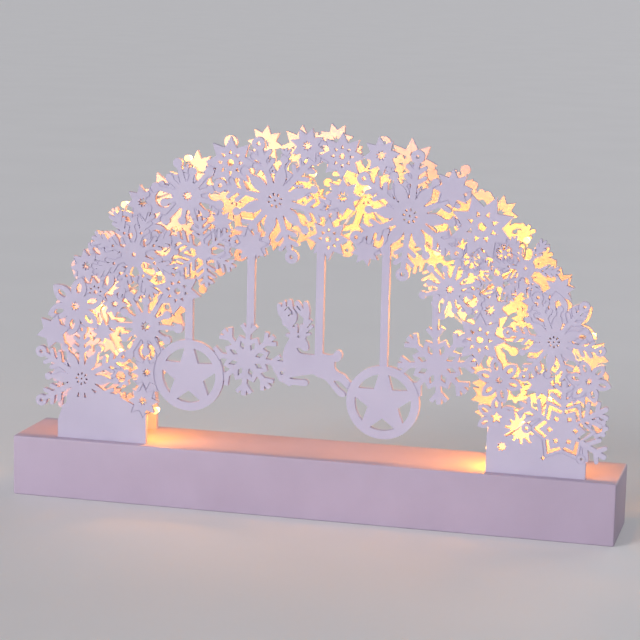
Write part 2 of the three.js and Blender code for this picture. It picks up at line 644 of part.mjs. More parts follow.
// Timer circuit on the posts, its chip, and the sliding switch behind the back panel
const halfCircuit = CIRCUIT_WIDTH / 2;
const circuit = box(
  SWITCH_X - halfCircuit, SWITCH_X + halfCircuit, CIRCUIT_Y - CIRCUIT_THICKNESS, CIRCUIT_Y,
  MIDDLE - CIRCUIT_HEIGHT / 2, MIDDLE + CIRCUIT_HEIGHT / 2,
);
const chip = box(
  SWITCH_X - CHIP_WIDTH / 2, SWITCH_X + CHIP_WIDTH / 2, CIRCUIT_Y - CIRCUIT_THICKNESS - CHIP_HEIGHT,
  CIRCUIT_Y - CIRCUIT_THICKNESS, MIDDLE - CHIP_WIDTH / 2, MIDDLE + CHIP_WIDTH / 2,
);

function switchBody() {
  const x = SWITCH_WIDTH / 2;
  const z = SWITCH_HEIGHT / 2;
  const w = SWITCH_WALL;
  const body = box(SWITCH_X - x, SWITCH_X + x, CIRCUIT_Y, FLANGE_Y, MIDDLE - z, MIDDLE + z);
  return body.subtract(box(
    SWITCH_X - x + w, SWITCH_X + x - w, CIRCUIT_Y + w, FLANGE_Y + 1, MIDDLE - z + w, MIDDLE + z - w,
  ));
}

function switchKnob() {
  const x = SWITCH_WIDTH / 2 - SWITCH_WALL - KNOB_TRAVEL / 2 - FIT;
  const z = SWITCH_HEIGHT / 2 - SWITCH_WALL - FIT;
  const slide = box(
    SWITCH_X - x, SWITCH_X + x, CIRCUIT_Y + SWITCH_WALL, FLANGE_Y - FIT, MIDDLE - z, MIDDLE + z,
  );
  return slide.add(box(
    SWITCH_X - KNOB_WIDTH / 2, SWITCH_X + KNOB_WIDTH / 2, FLANGE_Y - 1, BACK - KNOB_RECESS,
    MIDDLE - KNOB_WIDTH / 2, MIDDLE + KNOB_WIDTH / 2,
  ));
}

put('timer_circuit', geometryOf(circuit), circuitGreen());
put('timer_chip', geometryOf(chip), blackPlastic());
put('switch_body', geometryOf(switchBody()), sheetMetal());
put('switch_knob', geometryOf(switchKnob()), blackPlastic());

// A route that runs straight from point to point, with one step for each run
class Route extends THREE.CatmullRomCurve3 {
  constructor(points) {
    super(points.map((p) => new THREE.Vector3(...p)), false, 'catmullrom', 0);
  }

  getPointAt(t, target) {
    return this.getPoint(t, target);
  }

  getTangentAt(t, target) {
    return this.getTangent(t, target);
  }
}

function leadAlong(points, radius) {
  const section = new THREE.Shape(disc(0, 0, radius, 6).map(([x, y]) => new THREE.Vector2(x, y)));
  const settings = { extrudePath: new Route(points), steps: points.length - 1, bevelEnabled: false };
  return solidOf(new THREE.ExtrudeGeometry(section, settings));
}

const circuitFace = CIRCUIT_Y - CIRCUIT_THICKNESS;

// The lead from the lug of a contact to the circuit, above or below its chip
function feed(level, side) {
  const start = HOLDER_HALF + LUG_REACH;
  const end = SWITCH_X - halfCircuit + 2.5 * FEED_DIAMETER;
  return geometryOf(leadAlong([
    [start, LUG_Y, level],
    [start + FEED_DIAMETER, LUG_Y, level],
    [start + 2.5 * FEED_DIAMETER, LUG_Y - FEED_DIAMETER, level - side * FEED_DIAMETER],
    [end, circuitFace - 2 * FEED_DIAMETER, MIDDLE + side * CHIP_WIDTH],
    [end, circuitFace, MIDDLE + side * CHIP_WIDTH],
  ], FEED_DIAMETER / 2));
}

put('lead_plus', feed(CELL_LOW, -1), leadPlastic(0x8c1f1c));
put('lead_minus', feed(CELL_HIGH, 1), leadPlastic(0x1b1b1d));

// The lead of the string: from the circuit up through the base, then past every lamp
const onString = ([u, v]) => [(u + LACE_SHIFT) * LACE, LEAD_Y, BASE_HEIGHT + v * LACE];
const string = [
  [SWITCH_X + CHIP_WIDTH, circuitFace, MIDDLE],
  [SWITCH_X + CHIP_WIDTH, circuitFace - 2 * LEAD_DIAMETER, MIDDLE],
  [SWITCH_X - halfCircuit, BAY_FLOOR - HOLDER_WALL - LEAD_BEND, MIDDLE],
  [-SIDE / 4, 0, PANEL + LEAD_BEND / 2],
  [LEAD_HOLE_X + 2 * LEAD_BEND, LEAD_Y + LEAD_BEND, MIDDLE],
  [LEAD_HOLE_X, LEAD_Y, BASE_HEIGHT - PANEL - LEAD_DIAMETER],
  ...STRING.map(onString),
];
put('lamp_lead', geometryOf(leadAlong(string, LEAD_RADIUS)), leadPlastic());

// Lamps: small blunt bulbs that sit behind the lead and point to the back board
function lamp(x, z) {
  const r = LAMP_DIAMETER / 2;
  const line = [[0, 0], [r, 0], [r, 0.75 * LAMP_LENGTH], [0.5 * r, LAMP_LENGTH], [0, LAMP_LENGTH]];
  const geometry = new THREE.LatheGeometry(line.map(([a, b]) => new THREE.Vector2(a, b)), 6);
  return geometryOf(solidOf(geometry.translate(x, LAMP_Y, z)));
}

LAMPS.map(onString).forEach(([x, , z], k) => {
  put(`lamp_${String(k + 1).padStart(2, '0')}`, lamp(x, z), lampResin());
});

export default arch;
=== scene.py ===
# LED candle arch: looks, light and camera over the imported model. Metres, +Z up, -Y is the front.
from math import atan2, cos, hypot, pi, radians, sin, tau

import bpy
import bmesh
from mathutils import Matrix, Vector
from mathutils.geometry import delaunay_2d_cdt


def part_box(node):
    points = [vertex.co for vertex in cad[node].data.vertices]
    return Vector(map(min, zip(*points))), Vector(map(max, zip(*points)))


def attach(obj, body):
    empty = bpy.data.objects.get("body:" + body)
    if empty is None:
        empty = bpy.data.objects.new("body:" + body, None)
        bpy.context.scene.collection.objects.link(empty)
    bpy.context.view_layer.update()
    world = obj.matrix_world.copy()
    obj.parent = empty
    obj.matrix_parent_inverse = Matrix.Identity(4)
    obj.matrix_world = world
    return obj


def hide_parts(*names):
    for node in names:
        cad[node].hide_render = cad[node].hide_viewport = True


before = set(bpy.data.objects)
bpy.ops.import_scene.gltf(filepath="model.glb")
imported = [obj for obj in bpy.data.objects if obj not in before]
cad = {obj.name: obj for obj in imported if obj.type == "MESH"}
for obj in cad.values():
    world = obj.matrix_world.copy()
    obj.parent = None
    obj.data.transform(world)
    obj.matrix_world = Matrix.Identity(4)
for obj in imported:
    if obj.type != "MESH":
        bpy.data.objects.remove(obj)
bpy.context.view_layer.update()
MM = 0.001

# Places and sizes taken from the frame
FRONT_LOW, FRONT_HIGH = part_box("front_board")
TOP_LOW, TOP_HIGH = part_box("base_top")
FLOOR_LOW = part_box("base_bottom")[0]
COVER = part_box("cell_cover")
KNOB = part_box("switch_knob")
CHIP_LOW, CHIP_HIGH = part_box("timer_chip")
CIRCUIT_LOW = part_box("timer_circuit")[0]
HOLDER_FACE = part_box("cell_holder")[0].y
SWITCH_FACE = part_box("switch_body")[1].y
LAMPS = [f"lamp_{k:02d}" for k in range(1, 21)]
BASE_TOP = TOP_HIGH.z
BASE_BACK = TOP_HIGH.y
PANEL = TOP_HIGH.z - TOP_LOW.z
BOARD = FRONT_HIGH.y - FRONT_LOW.y

# Sizes that the pieces share. In the base the bends of the lamp lead stand off by LEAD_REACH, and each of its
# bends is eased over LEAD_EASE.
GAP = 0.3 * MM
HOLDER_WALL = 1.5 * MM
KNOB_HALF = 1.5 * MM
KNOB_TRAVEL = 2 * MM
LEAD_RADIUS = 0.8 * MM
LEAD_EASE = 5 * MM
LEAD_REACH = 8 * MM
LEAD_Y = FRONT_HIGH.y + LEAD_RADIUS

# The lace, in millimetres in the plane of the front board: u runs to the right from the middle of the arch,
# which lies a little to the right of the middle of the base, and v upwards from the base
LACE_SHIFT = 4
GROOVE_WIDTH = 0.7
GROOVE_DEPTH = 0.5 * MM

# Kind, u, v, radius, turn in degrees, and the number of arms where it isn't the kind's own.
# Later flakes lie over earlier ones.
FILL = [
    ("solid", -193, 50, 10, 20),
    ("solid", -161, 82, 9, 0),
    ("hoop", -127, 69, 13, 10),
    ("solid", -126, 44, 12, 30),
    ("petal", -156, 133, 22, 20),
    ("starry", -177, 128, 10, 0),
    ("petal", -131, 162, 22, 40),
    ("hoop", -138, 116, 10, 20),
    ("hoop", -116, 147, 13, 30),
    ("hoop", -75, 150, 13, 10),
    ("fern", -86, 190, 22, 10, 6),
    ("solid", -102, 194, 12, 0),
    ("solid", -71, 168, 9, 10),
    ("starry", -45, 214, 10, 0),
    ("fern", -24, 201, 22, 30, 6),
    ("starry", -44, 153, 10, 0),
    ("starry", 8, 182, 11, 0),
    ("hoop", 4, 222, 9, 20),
    ("hoop", 42, 161, 13, 40),
    ("hoop", 61, 191, 13, 30),
    ("fern", 60, 196, 22, 0, 6),
    ("solid", 94, 162, 10, 40),
    ("hoop", 112, 151, 12, 20),
    ("fern", 111, 170, 17, 30, 6),
    ("hoop", 135, 157, 12, 10),
    ("dendrite", 131, 137, 18, 10),
    ("starry", 126, 116, 14, 30),
    ("starry", 160, 124, 12, 0),
    ("hoop", 112, 122, 10, 10),
    ("solid", 164, 66, 11, 30),
    ("starry", 190, 63, 11, 30),
    ("petal", 133, 40, 15, 30),
    ("blossom", -167, 111, 11, 10),
    ("starry", -152, 103, 10, 0),
    ("hoop", -147, 49, 8, 0),
    ("fern", 112, 151, 8, 0, 6),
    ("dendrite", 135, 157, 9, 10),
    ("solid", 147, 134, 7, 10, 6),
    ("hoop", -128, 172, 7, 10),
]
FLAKES = [
    ("ring", -177.5, 45.5, 37, 30),
    ("petal", -182.5, 99.5, 23, -41),
    ("solid", -200, 79.5, 13.5, 15, 6),
    ("starry", -174, 130, 12.5, 10),
    ("fern", -137.5, 140.5, 34, 26),
    ("ball", -128, 88, 25, 0),
    ("starry", -127, 53.5, 12, 0),
    ("blossom", -104, 115.5, 18, -10),
    ("starry", -131, 179, 13, 10),
    ("hoop", -115, 182.5, 13, 10),
    ("ball", -97, 185.5, 24.7, 48),
    ("dendrite", -84.5, 145.5, 26, 37),
    ("blossom", -65, 211, 19, 0),
    ("ring", -31.5, 185.5, 42, 48),
    ("solid", -49, 152, 13, 10),
    ("starry", -8.5, 225.5, 13, 74),
    ("blossom", 17, 219, 17, 0),
    ("starry", 45, 221, 13.5, 7),
    ("starry", 18, 190.5, 14, 0),
    ("blossom", 8.5, 160, 15.5, 0),
    ("solid", 35.5, 153, 11, 10),
    ("ring", 67, 179.5, 42, 24),
    ("solid", 97, 200, 14, 0),
    ("blossom", 118.5, 174.5, 23.5, 20),
    ("ball", 97, 129, 20, 15),
    ("blossom", 119.5, 94.5, 19, 0),
    ("fern", 150, 147, 24, -4, 6),
    ("solid", 174, 133, 11, 10),
    ("petal", 176.5, 107.5, 25, 40),
    ("ring", 172, 96.5, 33, -8),
    ("petal", 134.5, 66.5, 17, 45),
]
FOOT_FLAKES = [
    ("hoop", 204.5, 37.5, 8, 0),
    ("frost", 180.5, 34, 36, 30),
    ("starry", -129.5, 32, 12, 0),
    ("petal", 197.5, 70, 16, 49),
    ("eyelet", 155, 33.5, 3.6, 0),
    ("eyelet", 194.5, 14.5, 3, 0),
]
FOOT_CUTS = [
    ("splash", 151, 33, 12.5, 12),
    ("cut", 133.5, 39.5, 4.6, 90, 5),
    ("cut", 138, 19, 3.6, 10, 8),
    ("cut", 167.5, 13, 1.8, 0, 4),
]
CRYSTALS = [("crystal", -51, 69, 27, -3.8), ("crystal", 89.5, 74.5, 28.5, 4.7)]
MEDALS = [("medal", -94.5, 53.9, 26.4, 0), ("medal", 51, 44.3, 26.8, 0)]

# The two solid feet, from the left corner along the base to the right corner and back over the top
FEET = [
    [
        (-196.2, 0), (-127.2, 0), (-127.2, 23), (-134, 27), (-146, 33), (-150, 35.5), (-165, 37),
        (-171, 31), (-186, 32), (-189.4, 27.5), (-189.6, 23.6), (-193.5, 21), (-196.2, 13),
    ],
    [
        (127, 0), (197.8, 0), (197.8, 15), (196, 27), (181, 39), (170, 39), (158, 43), (146, 45), (131, 47),
        (127, 27),
    ],
]
TAB_SHOULDER = 12
TAB_OVERLAP = 1
TABS = [(foot[0][0] + TAB_SHOULDER, foot[1][0] - TAB_SHOULDER) for foot in FEET]

# What is cut away under the feet: left, right, bottom and top
BELOW_FEET = (-250, 250, -20, 0)

# The bars that the chain hangs on: u, lower end, upper end and width
BARS = [
    (-94.8, 77, 112, 5.7),
    (-48.4, 92, 150, 5.6),
    (3, 70, 158, 5.8),
    (50.7, 68, 158, 5.6),
    (87.4, 99, 125, 4.5),
]

# The leaping deer: smooth outlines of its body and far antler, the tines of the near one as lines of
# (u, v, width), and what is cut out, as slits of (u, v, u, v, width) and round holes
DEER_BODY = [
    (-4.6, 80.2), (-5.2, 83.2), (-7.2, 86.6), (-6.4, 90), (-9, 92), (-14, 92.5), (-18, 91),
    (-18.6, 89.9), (-21.6, 89.6), (-21.8, 87.9), (-19, 86.6), (-20.2, 84), (-22.6, 79), (-23.6, 73),
    (-23.4, 69), (-26, 67.8), (-31, 65.8), (-30.6, 62.5), (-28, 58.6), (-26, 55), (-21.5, 53),
    (-18, 51.2), (-15.5, 52.6), (-9, 52.2), (-5.6, 52.4), (-4.4, 54.6), (-6.6, 56.8), (-11, 56.5),
    (-17.4, 56.8), (-17.4, 57.9), (-9, 59.8), (-1, 61.3), (2.6, 59.6), (8, 57.9), (12, 54), (17, 48.4),
    (20.5, 46.2), (23.2, 47), (22.6, 49.4), (18, 53), (14.6, 57.5), (19, 57.3), (24.6, 52.4), (28, 50),
    (29.5, 55), (26.8, 57.4), (24, 60.6), (21.8, 62.8), (17.5, 64.4), (15.2, 67), (15, 71.4),
    (17.6, 71.8), (20, 75), (20, 78.2), (17.8, 80.2), (15.2, 79), (13.6, 76.8), (10, 76.2), (5, 77),
    (0, 75.4), (-6, 75.6), (-11, 76.2), (-13.6, 79.6), (-10.4, 79.6), (-8, 78.1), (-5.4, 78.2),
]
FAR_ANTLER = [
    (-15.6, 90.5), (-16.8, 95.2), (-15.2, 97.4), (-14, 99.8), (-13.7, 102.6), (-14.2, 105),
    (-15.4, 107), (-16.6, 108.8), (-17.2, 110.6), (-17.4, 113.2), (-18.2, 114.6), (-19.8, 114.6),
    (-20.8, 113.4), (-20.7, 111.6), (-20.9, 110), (-21.6, 109.4), (-22.2, 110.5), (-22.2, 113),
    (-22.8, 113.7), (-23.8, 113.4), (-24.6, 111.2), (-25, 109.2), (-25.5, 109.2), (-25.8, 110.6),
    (-26.2, 111.3), (-27.6, 111.3), (-28.7, 110.4), (-28.6, 107.6), (-28.2, 105.4), (-27, 102.6),
    (-25.2, 100), (-24.5, 98), (-24.3, 96.2), (-22, 94.7), (-19.7, 92.7), (-18.2, 90.6),
]
TINES = [
    [(-7.8, 91, 5), (-6.9, 97, 4.2), (-6.9, 101.5, 4), (-6.6, 107, 4.4), (-7.5, 112.3, 3.6)],
    [(-7.6, 103, 3), (-10.4, 107.8, 3), (-13.6, 112.2, 3.8)],
    [(-8, 102.8, 2.6), (-11.4, 105.8, 2.8), (-14.9, 109.4, 2.2)],
    [(-6.5, 98, 3.4), (-3.9, 100, 2.6)],
    [(-6, 94.4, 3.4), (-2.9, 96, 2.8)],
    [(-8.5, 89.8, 3.4), (-4.2, 90.3, 1.8)],
    [(-14, 91, 2.4), (-14, 96.2, 1.6)],
    [(-10.2, 91, 3.4), (-10.1, 96.1, 2.4)],
    [(-16, 91, 4), (-15.6, 94, 2.4)],
]
SLITS = [
    (-22.9, 106.5, -20.2, 109.4, 0.8), (-20.4, 109.4, -17.6, 106, 1.1), (-17.7, 106.4, -17.1, 103.7, 1),
    (-18.2, 104.4, -20.1, 102.7, 1.1), (-13.9, 110.5, -11.1, 107.2, 0.9),
    (-12.4, 90.6, -12.1, 97.6, 1.2), (-5.8, 95.1, -2.2, 98.5, 0.7), (-6.5, 91.1, -2, 92.5, 0.9),
    (-16.4, 108.9, -13.8, 104.9, 0.8),
]
DEER_HOLES = [(-24.2, 60.6, 1.6), (-12.1, 88.2, 1)]

# Where the lead of the lamps runs behind the front board: its lamps and, marked 0, the bends between them
STRING = [
    (-132, 20, 0), (-122, 24, 1), (-129, 34, 0), (-128, 52, 0), (-151, 66, 1), (-166, 98, 1),
    (-120, 128, 1), (-137, 146, 0), (-147, 176, 1), (-131, 178, 0), (-112, 186, 0), (-100, 194, 0),
    (-99, 212, 1), (-90, 201, 0), (-65, 211, 1), (-46, 183, 1), (-6, 205, 1), (13, 160, 1),
    (34, 196, 1), (86, 154, 1), (118, 158, 1), (139, 160, 0), (149, 166, 1), (148, 150, 0),
    (98, 111, 1), (119.5, 95, 1), (198, 101, 1), (172, 96, 0), (166, 66, 0), (169, 53, 1), (151, 34, 1),
    (128, 16, 1),
]
LEAD_HOLE_U = STRING[0][0]


# Outlines in the plane of a board, anticlockwise, as lists of points
def polar(r, a):
    return (r * cos(a), r * sin(a))


def arc(r, start, sweep, steps):
    return [polar(r, start + sweep * k / steps) for k in range(steps + 1)]


def circle(r, steps):
    return arc(r, 0, tau, steps)[:-1]


def turned(points, a):
    return [(x * cos(a) - y * sin(a), x * sin(a) + y * cos(a)) for x, y in points]


def moved(points, u, v):
    return [(x + u, y + v) for x, y in points]


def rectangle(x0, x1, y0, y1):
    return [(x0, y0), (x1, y0), (x1, y1), (x0, y1)]


def disc(x, y, r, least=8, most=40, steps_per_mm=3.2):
    return moved(circle(r, max(least, min(most, round(steps_per_mm * r)))), x, y)


def oval(x, y, a, b, steps=12):
    return moved([(a * across, b * up) for across, up in circle(1, steps)], x, y)


def bar(x0, y0, x1, y1, w0, w1=None):
    """A straight bar between two points, w0 wide at the first and w1 at the second."""
    w1 = w0 if w1 is None else w1
    length = hypot(x1 - x0, y1 - y0)
    nx, ny = -(y1 - y0) / length / 2, (x1 - x0) / length / 2
    near = [(x0 + nx * w0, y0 + ny * w0), (x0 - nx * w0, y0 - ny * w0)]
    far = [(x1 - nx * w1, y1 - ny * w1), (x1 + nx * w1, y1 + ny * w1)]
    return near + far


def finger(x0, y0, x1, y1, w, steps=5):
    """A bar with round ends."""
    a = atan2(y1 - y0, x1 - x0)
    far, near = arc(w / 2, a - pi / 2, pi, steps), arc(w / 2, a + pi / 2, pi, steps)
    return moved(far, x1, y1) + moved(near, x0, y0)


def star(n, outer, inner, turn=0.0):
    return [polar(inner if k % 2 else outer, turn + pi * k / n) for k in range(2 * n)]


def leaf(start, end, width, steps=7, fullness=0.8):
    """A leaf along the u axis, pointed at both ends."""
    upper = []
    for k in range(1, steps):
        upper.append((start + (end - start) * k / steps, width / 2 * sin(pi * k / steps) ** fullness))
    return [(start, 0)] + [(x, -y) for x, y in upper] + [(end, 0)] + upper[::-1]


def round_about(n, start, shapes):
    """Shapes repeated n times round the middle, the first ones turned by start."""
    return [turned(points, start + tau * k / n) for k in range(n) for points in shapes]


def curve(nodes, shares):
    """A smooth line from the second node to the last but one, with points at shares of every step of it."""
    nodes = [Vector(node) for node in nodes]
    line = []
    for a, b, c, d in zip(nodes, nodes[1:], nodes[2:], nodes[3:]):
        slope, bend, twist = c - a, 2 * a - 5 * b + 4 * c - d, 3 * b - a - 3 * c + d
        line += [0.5 * (2 * b + slope * t + bend * t * t + twist * t ** 3) for t in shares]
    return line


def rounded(corners):
    """A closed smooth outline through the given points."""
    return curve(corners[-1:] + corners + corners[:2], (0, 0.33, 0.67))


def limb(line):
    """A tapered limb along a smooth line of (u, v, width), with a round far end."""
    smooth = curve(line[:1] + line + line[-1:], (0, 0.25, 0.5, 0.75)) + [Vector(line[-1])]
    left, right = [], []
    for k, (x, y, w) in enumerate(smooth):
        ahead = smooth[min(k + 1, len(smooth) - 1)] - smooth[max(k - 1, 0)]
        across = Vector((-ahead.y, ahead.x)).normalized() * (w / 2)
        left.append((x + across.x, y + across.y))
        right.append((x - across.x, y - across.y))
    x, y, w = smooth[-1]
    end = arc(w / 2, atan2(ahead.y, ahead.x) - pi / 2, pi, 6)
    return right + moved(end[1:-1], x, y) + left[::-1]


# Snowflakes: the outlines that each kind adds, grown by g, and those that it cuts. R is the radius of a
# flake, and k scales the sizes given in millimetres from the radius at which they hold.
def ring(R, g, arms=6):
    k = R / 42
    long = [bar(0, 0, R - 3 * k, 0, 5 * k + 2 * g, 3.6 * k + 2 * g), disc(R, 0, 4.9 * k + g)]
    for x, reach in ((27.5, 6.8), (34.5, 6.2)):
        for side in (-1, 1):
            long.append(finger((x - 5) * k, 0, x * k, side * reach * k, 3.4 * k + 2 * g))
    short = [
        bar(0, 0, 30 * k, 0, 5 * k + 2 * g, 2.6 * k + 2 * g),
        leaf(7 * k - g, 26 * k + g, 8.5 * k + 2 * g),
        disc(0.715 * R, 0, 3.1 * k + g),
    ]
    add = [disc(0, 0, 12.4 * k + g)] + round_about(arms, 0, long) + round_about(arms, pi / arms, short)
    slit = [(3.3 * k, -0.45 * k), (5.4 * k, -0.85 * k), (5.4 * k, 0.85 * k), (3.3 * k, 0.45 * k)]
    holes = round_about(arms, 0, [disc(R, 0, 1.55 * k)])
    return add, holes + round_about(8, 0.2, [slit]) + [disc(0, 0, 0.8 * k)]


def ball(R, g, arms=6):
    k = R / 25
    long = [bar(0, 0, R, 0, 4.4 * k + 2 * g, 3.2 * k + 2 * g), disc(R, 0, 3.6 * k + g)]
    short = [bar(0, 0, 0.75 * R, 0, 4.2 * k + 2 * g, 3 * k + 2 * g), disc(0.75 * R, 0, 3.2 * k + g)]
    add = [disc(0, 0, 10.5 * k + g)] + round_about(arms, 0, long) + round_about(arms, pi / arms, short)
    return add, [star(8, 4 * k, 2.1 * k)]


def blossom(R, g, points=8):
    gap = [(0.33 * R, -0.075 * R), (0.5 * R, 0), (0.33 * R, 0.075 * R)]
    return [star(points, R + 1.6 * g, 0.6 * R + g)], [disc(0, 0, 0.13 * R)] + round_about(points, 0, [gap])


def solid(R, g, points=8):
    return [star(points, R + 1.6 * g, 0.58 * R + g)], []


def starry(R, g, points=8):
    return [star(points, R + 1.6 * g, 0.6 * R + g)], [star(8, 0.3 * R, 0.15 * R, pi / 8)]


def petal(R, g, leaves=6):
    add = [disc(0, 0, 0.42 * R + g)] + round_about(leaves, 0, [leaf(0.12 * R, R + g, 0.52 * R + 2 * g, 9)])
    vein = oval(0.6 * R, 0, 0.17 * R, 0.085 * R)
    return add, [star(8, 0.17 * R, 0.085 * R)] + round_about(leaves, 0, [vein])


def fern(R, g, arms=8):
    w = 0.085 * R
    frond = [bar(0, 0, 0.86 * R, 0, 1.3 * w + 2 * g), finger(0, 0, 0.97 * R, 0, w + 2 * g)]
    for x in (0.42, 0.6, 0.76):
        for side in (-1, 1):
            frond.append(finger(x * R, 0, (x + 0.18) * R, side * 0.128 * R, w + 2 * g))
    cuts = [disc(0, 0, 0.047 * R)] + round_about(arms, 0, [disc(0.5 * R, 0, 0.032 * R)])
    return [disc(0, 0, 0.27 * R + g)] + round_about(arms, 0, frond), cuts


def branch(R, width, twig_width, twigs, slant=pi / 3.4):
    """An arm with twigs on both sides. Each pair has a place on the arm and a length, in shares of R."""
    arm = [finger(0, 0, 0.95 * R, 0, width)]
    for x, length in twigs:
        for side in (-1, 1):
            tip = polar(length * R, side * slant)
            arm.append(finger(x * R, 0, x * R + tip[0], tip[1], twig_width))
    return arm


def dendrite(R, g, arms=6):
    w = 0.1 * R
    arm = branch(R, w + 2 * g, 0.85 * w + 2 * g, ((0.36, 0.3), (0.56, 0.3), (0.76, 0.2)))
    return [disc(0, 0, 0.23 * R + g)] + round_about(arms, 0, arm), []


def frost(R, g, arms=6, shown=(-1, 0, 1, 2)):
    """The flake on a foot: a plate with chevrons cut in it, and only the arms that leave the foot."""
    k = R / 36
    arm = branch(R, 3.6 * k + 2 * g, 3.1 * k + 2 * g, ((0.52, 0.3), (0.76, 0.2)))
    chevron = [(20.4, 0), (12.6, 6.4), (10.9, 4.8), (16.4, 0), (10.9, -4.8), (12.6, -6.4)]
    eye = [(6.9, 0), (9.3, -2.1), (11, 0), (9.3, 2.1)]
    cuts = [[(x * k, y * k) for x, y in line] for line in (chevron, eye)]
    plate = star(arms, 23.6 * k + g, 15.5 * k + g, pi / arms)
    spread = [turned(points, tau * j / arms) for j in shown for points in arm]
    return [plate] + spread, round_about(arms, pi / arms, cuts)


def hoop(R, g, lobes=8):
    add = [disc(0, 0, 0.8 * R + g)] + round_about(lobes, 0, [disc(0.82 * R, 0, 0.2 * R + g)])
    return add, [disc(0, 0, 0.5 * R)]


def crystal(R, g, arms=8):
    k = R / 26
    fork = [bar(0, 0, R, 0, 3.5 * k + 2 * g)]
    for side in (-1, 1):
        fork.append(bar(18 * k, 0, 24 * k, side * 5.2 * k, 2.9 * k + 2 * g))
    point = [
        bar(5 * k, 0, 9 * k, 0, 2.2 * k + 2 * g),
        [(6 * k, -2.2 * k), (12.5 * k, -4.9 * k), (17.2 * k + g, 0), (12.5 * k, 4.9 * k), (6 * k, 2.2 * k)],
    ]
    gap = [(6.8 * k, 0), (9.8 * k, -1.9 * k), (13.6 * k, 0), (9.8 * k, 1.9 * k)]
    add = [disc(0, 0, 6.4 * k + g)] + round_about(arms, 0, fork) + round_about(arms, pi / arms, point)
    return add, round_about(arms, pi / arms, [gap])


def medal(R, g, points=5, half_spoke=0.17):
    rim = arc(0.77 * R, half_spoke, tau / points - 2 * half_spoke, 6)
    gap = [polar(0.43 * R, pi / points)] + rim
    return [disc(0, 0, R + g)], round_about(points, pi / 2, [gap])


def eyelet(R, g):
    return [disc(0, 0, R + g)], [disc(0, 0, 0.35 * R)]


def cut(R, g, points=5):
    """A star cut out, slender when it has five points."""
    return [], [star(points, R, (0.45 if points == 5 else 0.6) * R)]


def splash(R, g, rays=11, reach=(0.98, 0.78, 0.88)):
    """A ragged star cut out, with rays of three lengths in turn."""
    spikes = [bar(0, 0, reach[k % 3] * R, 0, 0.36 * R, 0.12 * R) for k in range(rays)]
    return [], [disc(0, 0, 0.58 * R)] + [turned(points, tau * k / rays) for k, points in enumerate(spikes)]


KINDS = {kind.__name__: kind for kind in (
    ring, ball, blossom, solid, starry, petal, fern, dendrite, frost, hoop, crystal, medal, eyelet,
    cut, splash,
)}


# The boards: layers of outlines laid over one another, made into one closed solid
NOTHING, FACE, GROOVE, BACK = range(4)
GROWN, ADDED, CUT = range(3)
PAINT_SLOT, EDGE_SLOT, SCORE_SLOT = range(3)

# A point this near to a straight line is left out, and points this near to each other are made one
STRAIGHT_WITHIN = 0.004
SAME_WITHIN = 1e-4

# Asks for the triangles inside the outlines only
INSIDE_ONLY = 1


def laid(flake):
    """The outlines of a flake in its place: grown, added and cut."""
    kind, u, v, R, turn, *arms = flake

    def placed(shapes):
        return [moved(turned(points, radians(turn)), u, v) for points in shapes]

    add, cuts = KINDS[kind](R, 0.0, *arms)
    wide = KINDS[kind](R, GROOVE_WIDTH, *arms)[0]
    return placed(wide), placed(add), placed(cuts)


def deer():
    """The outlines of the deer: grown, added and cut. No line is scored round it."""
    add = [limb(line) for line in TINES] + [rounded(DEER_BODY), rounded(FAR_ANTLER)]
    return add, add, [disc(*hole) for hole in DEER_HOLES] + [bar(*slit) for slit in SLITS]


def layers(with_chain):
    """Every layer of a board from the lowest to the highest, as (grown, added, cut) outlines."""
    found = [laid(flake) for flake in FILL + FLAKES]
    found.append(([], FEET, []))
    found += [laid(flake) for flake in FOOT_CUTS + FOOT_FLAKES]
    if with_chain:
        bars = [rectangle(u - width / 2, u + width / 2, low, high) for u, low, high, width in BARS]
        found.append(([], bars, []))
        found += [laid(flake) for flake in CRYSTALS]
        found.append(deer())
        found += [laid(flake) for flake in MEDALS]
    found.append(([], [], [rectangle(*BELOW_FEET)]))
    found.append(([], [rectangle(left, right, -PANEL / MM, TAB_OVERLAP) for left, right in TABS], []))
    return found


def sides(loop):
    """Each member of a closed loop with the next."""
    return zip(loop, loop[1:] + loop[:1])


def straightened(line):
    """A closed line without the points that lie on its straight runs."""
    kept = []
    for k, point in enumerate(line):
        before = kept[-1] if kept else line[-1]
        after = line[(k + 1) % len(line)]
        run = after - before
        if abs(run.x * (point.y - before.y) - run.y * (point.x - before.x)) > STRAIGHT_WITHIN * run.length:
            kept.append(point)
    return kept


def lines_round(faces, points):
    """The closed lines round a patch of faces. A line that meets itself is parted there."""
    edges = set()
    for face in faces:
        for i, j in sides(face):
            if (j, i) in edges:
                edges.remove((j, i))
            else:
                edges.add((i, j))
    ahead = {}
    for i, j in edges:
        ahead.setdefault(i, []).append(j)
    lines = []
    while ahead:
        at = next(iter(ahead))
        line, places = [], {}
        while at in ahead:
            if at in places:
                lines.append(line[places[at]:])
                del line[places[at]:]
                places = {i: k for k, i in enumerate(line)}
            places[at] = len(line)
            line.append(at)
            onward = ahead[at].pop()
            if not ahead[at]:
                del ahead[at]
            at = onward
        lines.append(line[places.get(at, 0):])
    found = (straightened([points[i] for i in line]) for line in lines if len(line) > 2)
    return [line for line in found if len(line) > 2]


def anticlockwise(line):
    area = sum(p.x * q.y - q.x * p.y for p, q in sides(line))
    return line if area > 0 else line[::-1]


def filled(outlines):
    """Triangles between closed outlines, and for each the numbers of the outlines that it lies in."""
    corners, loops = [], []
    for points in outlines:
        loops.append(list(range(len(corners), len(corners) + len(points))))
        corners += [Vector(p) for p in points]
    points, _, faces, _, _, inside = delaunay_2d_cdt(corners, [], loops, INSIDE_ONLY, SAME_WITHIN, True)
    return points, [list(face) for face in faces], inside


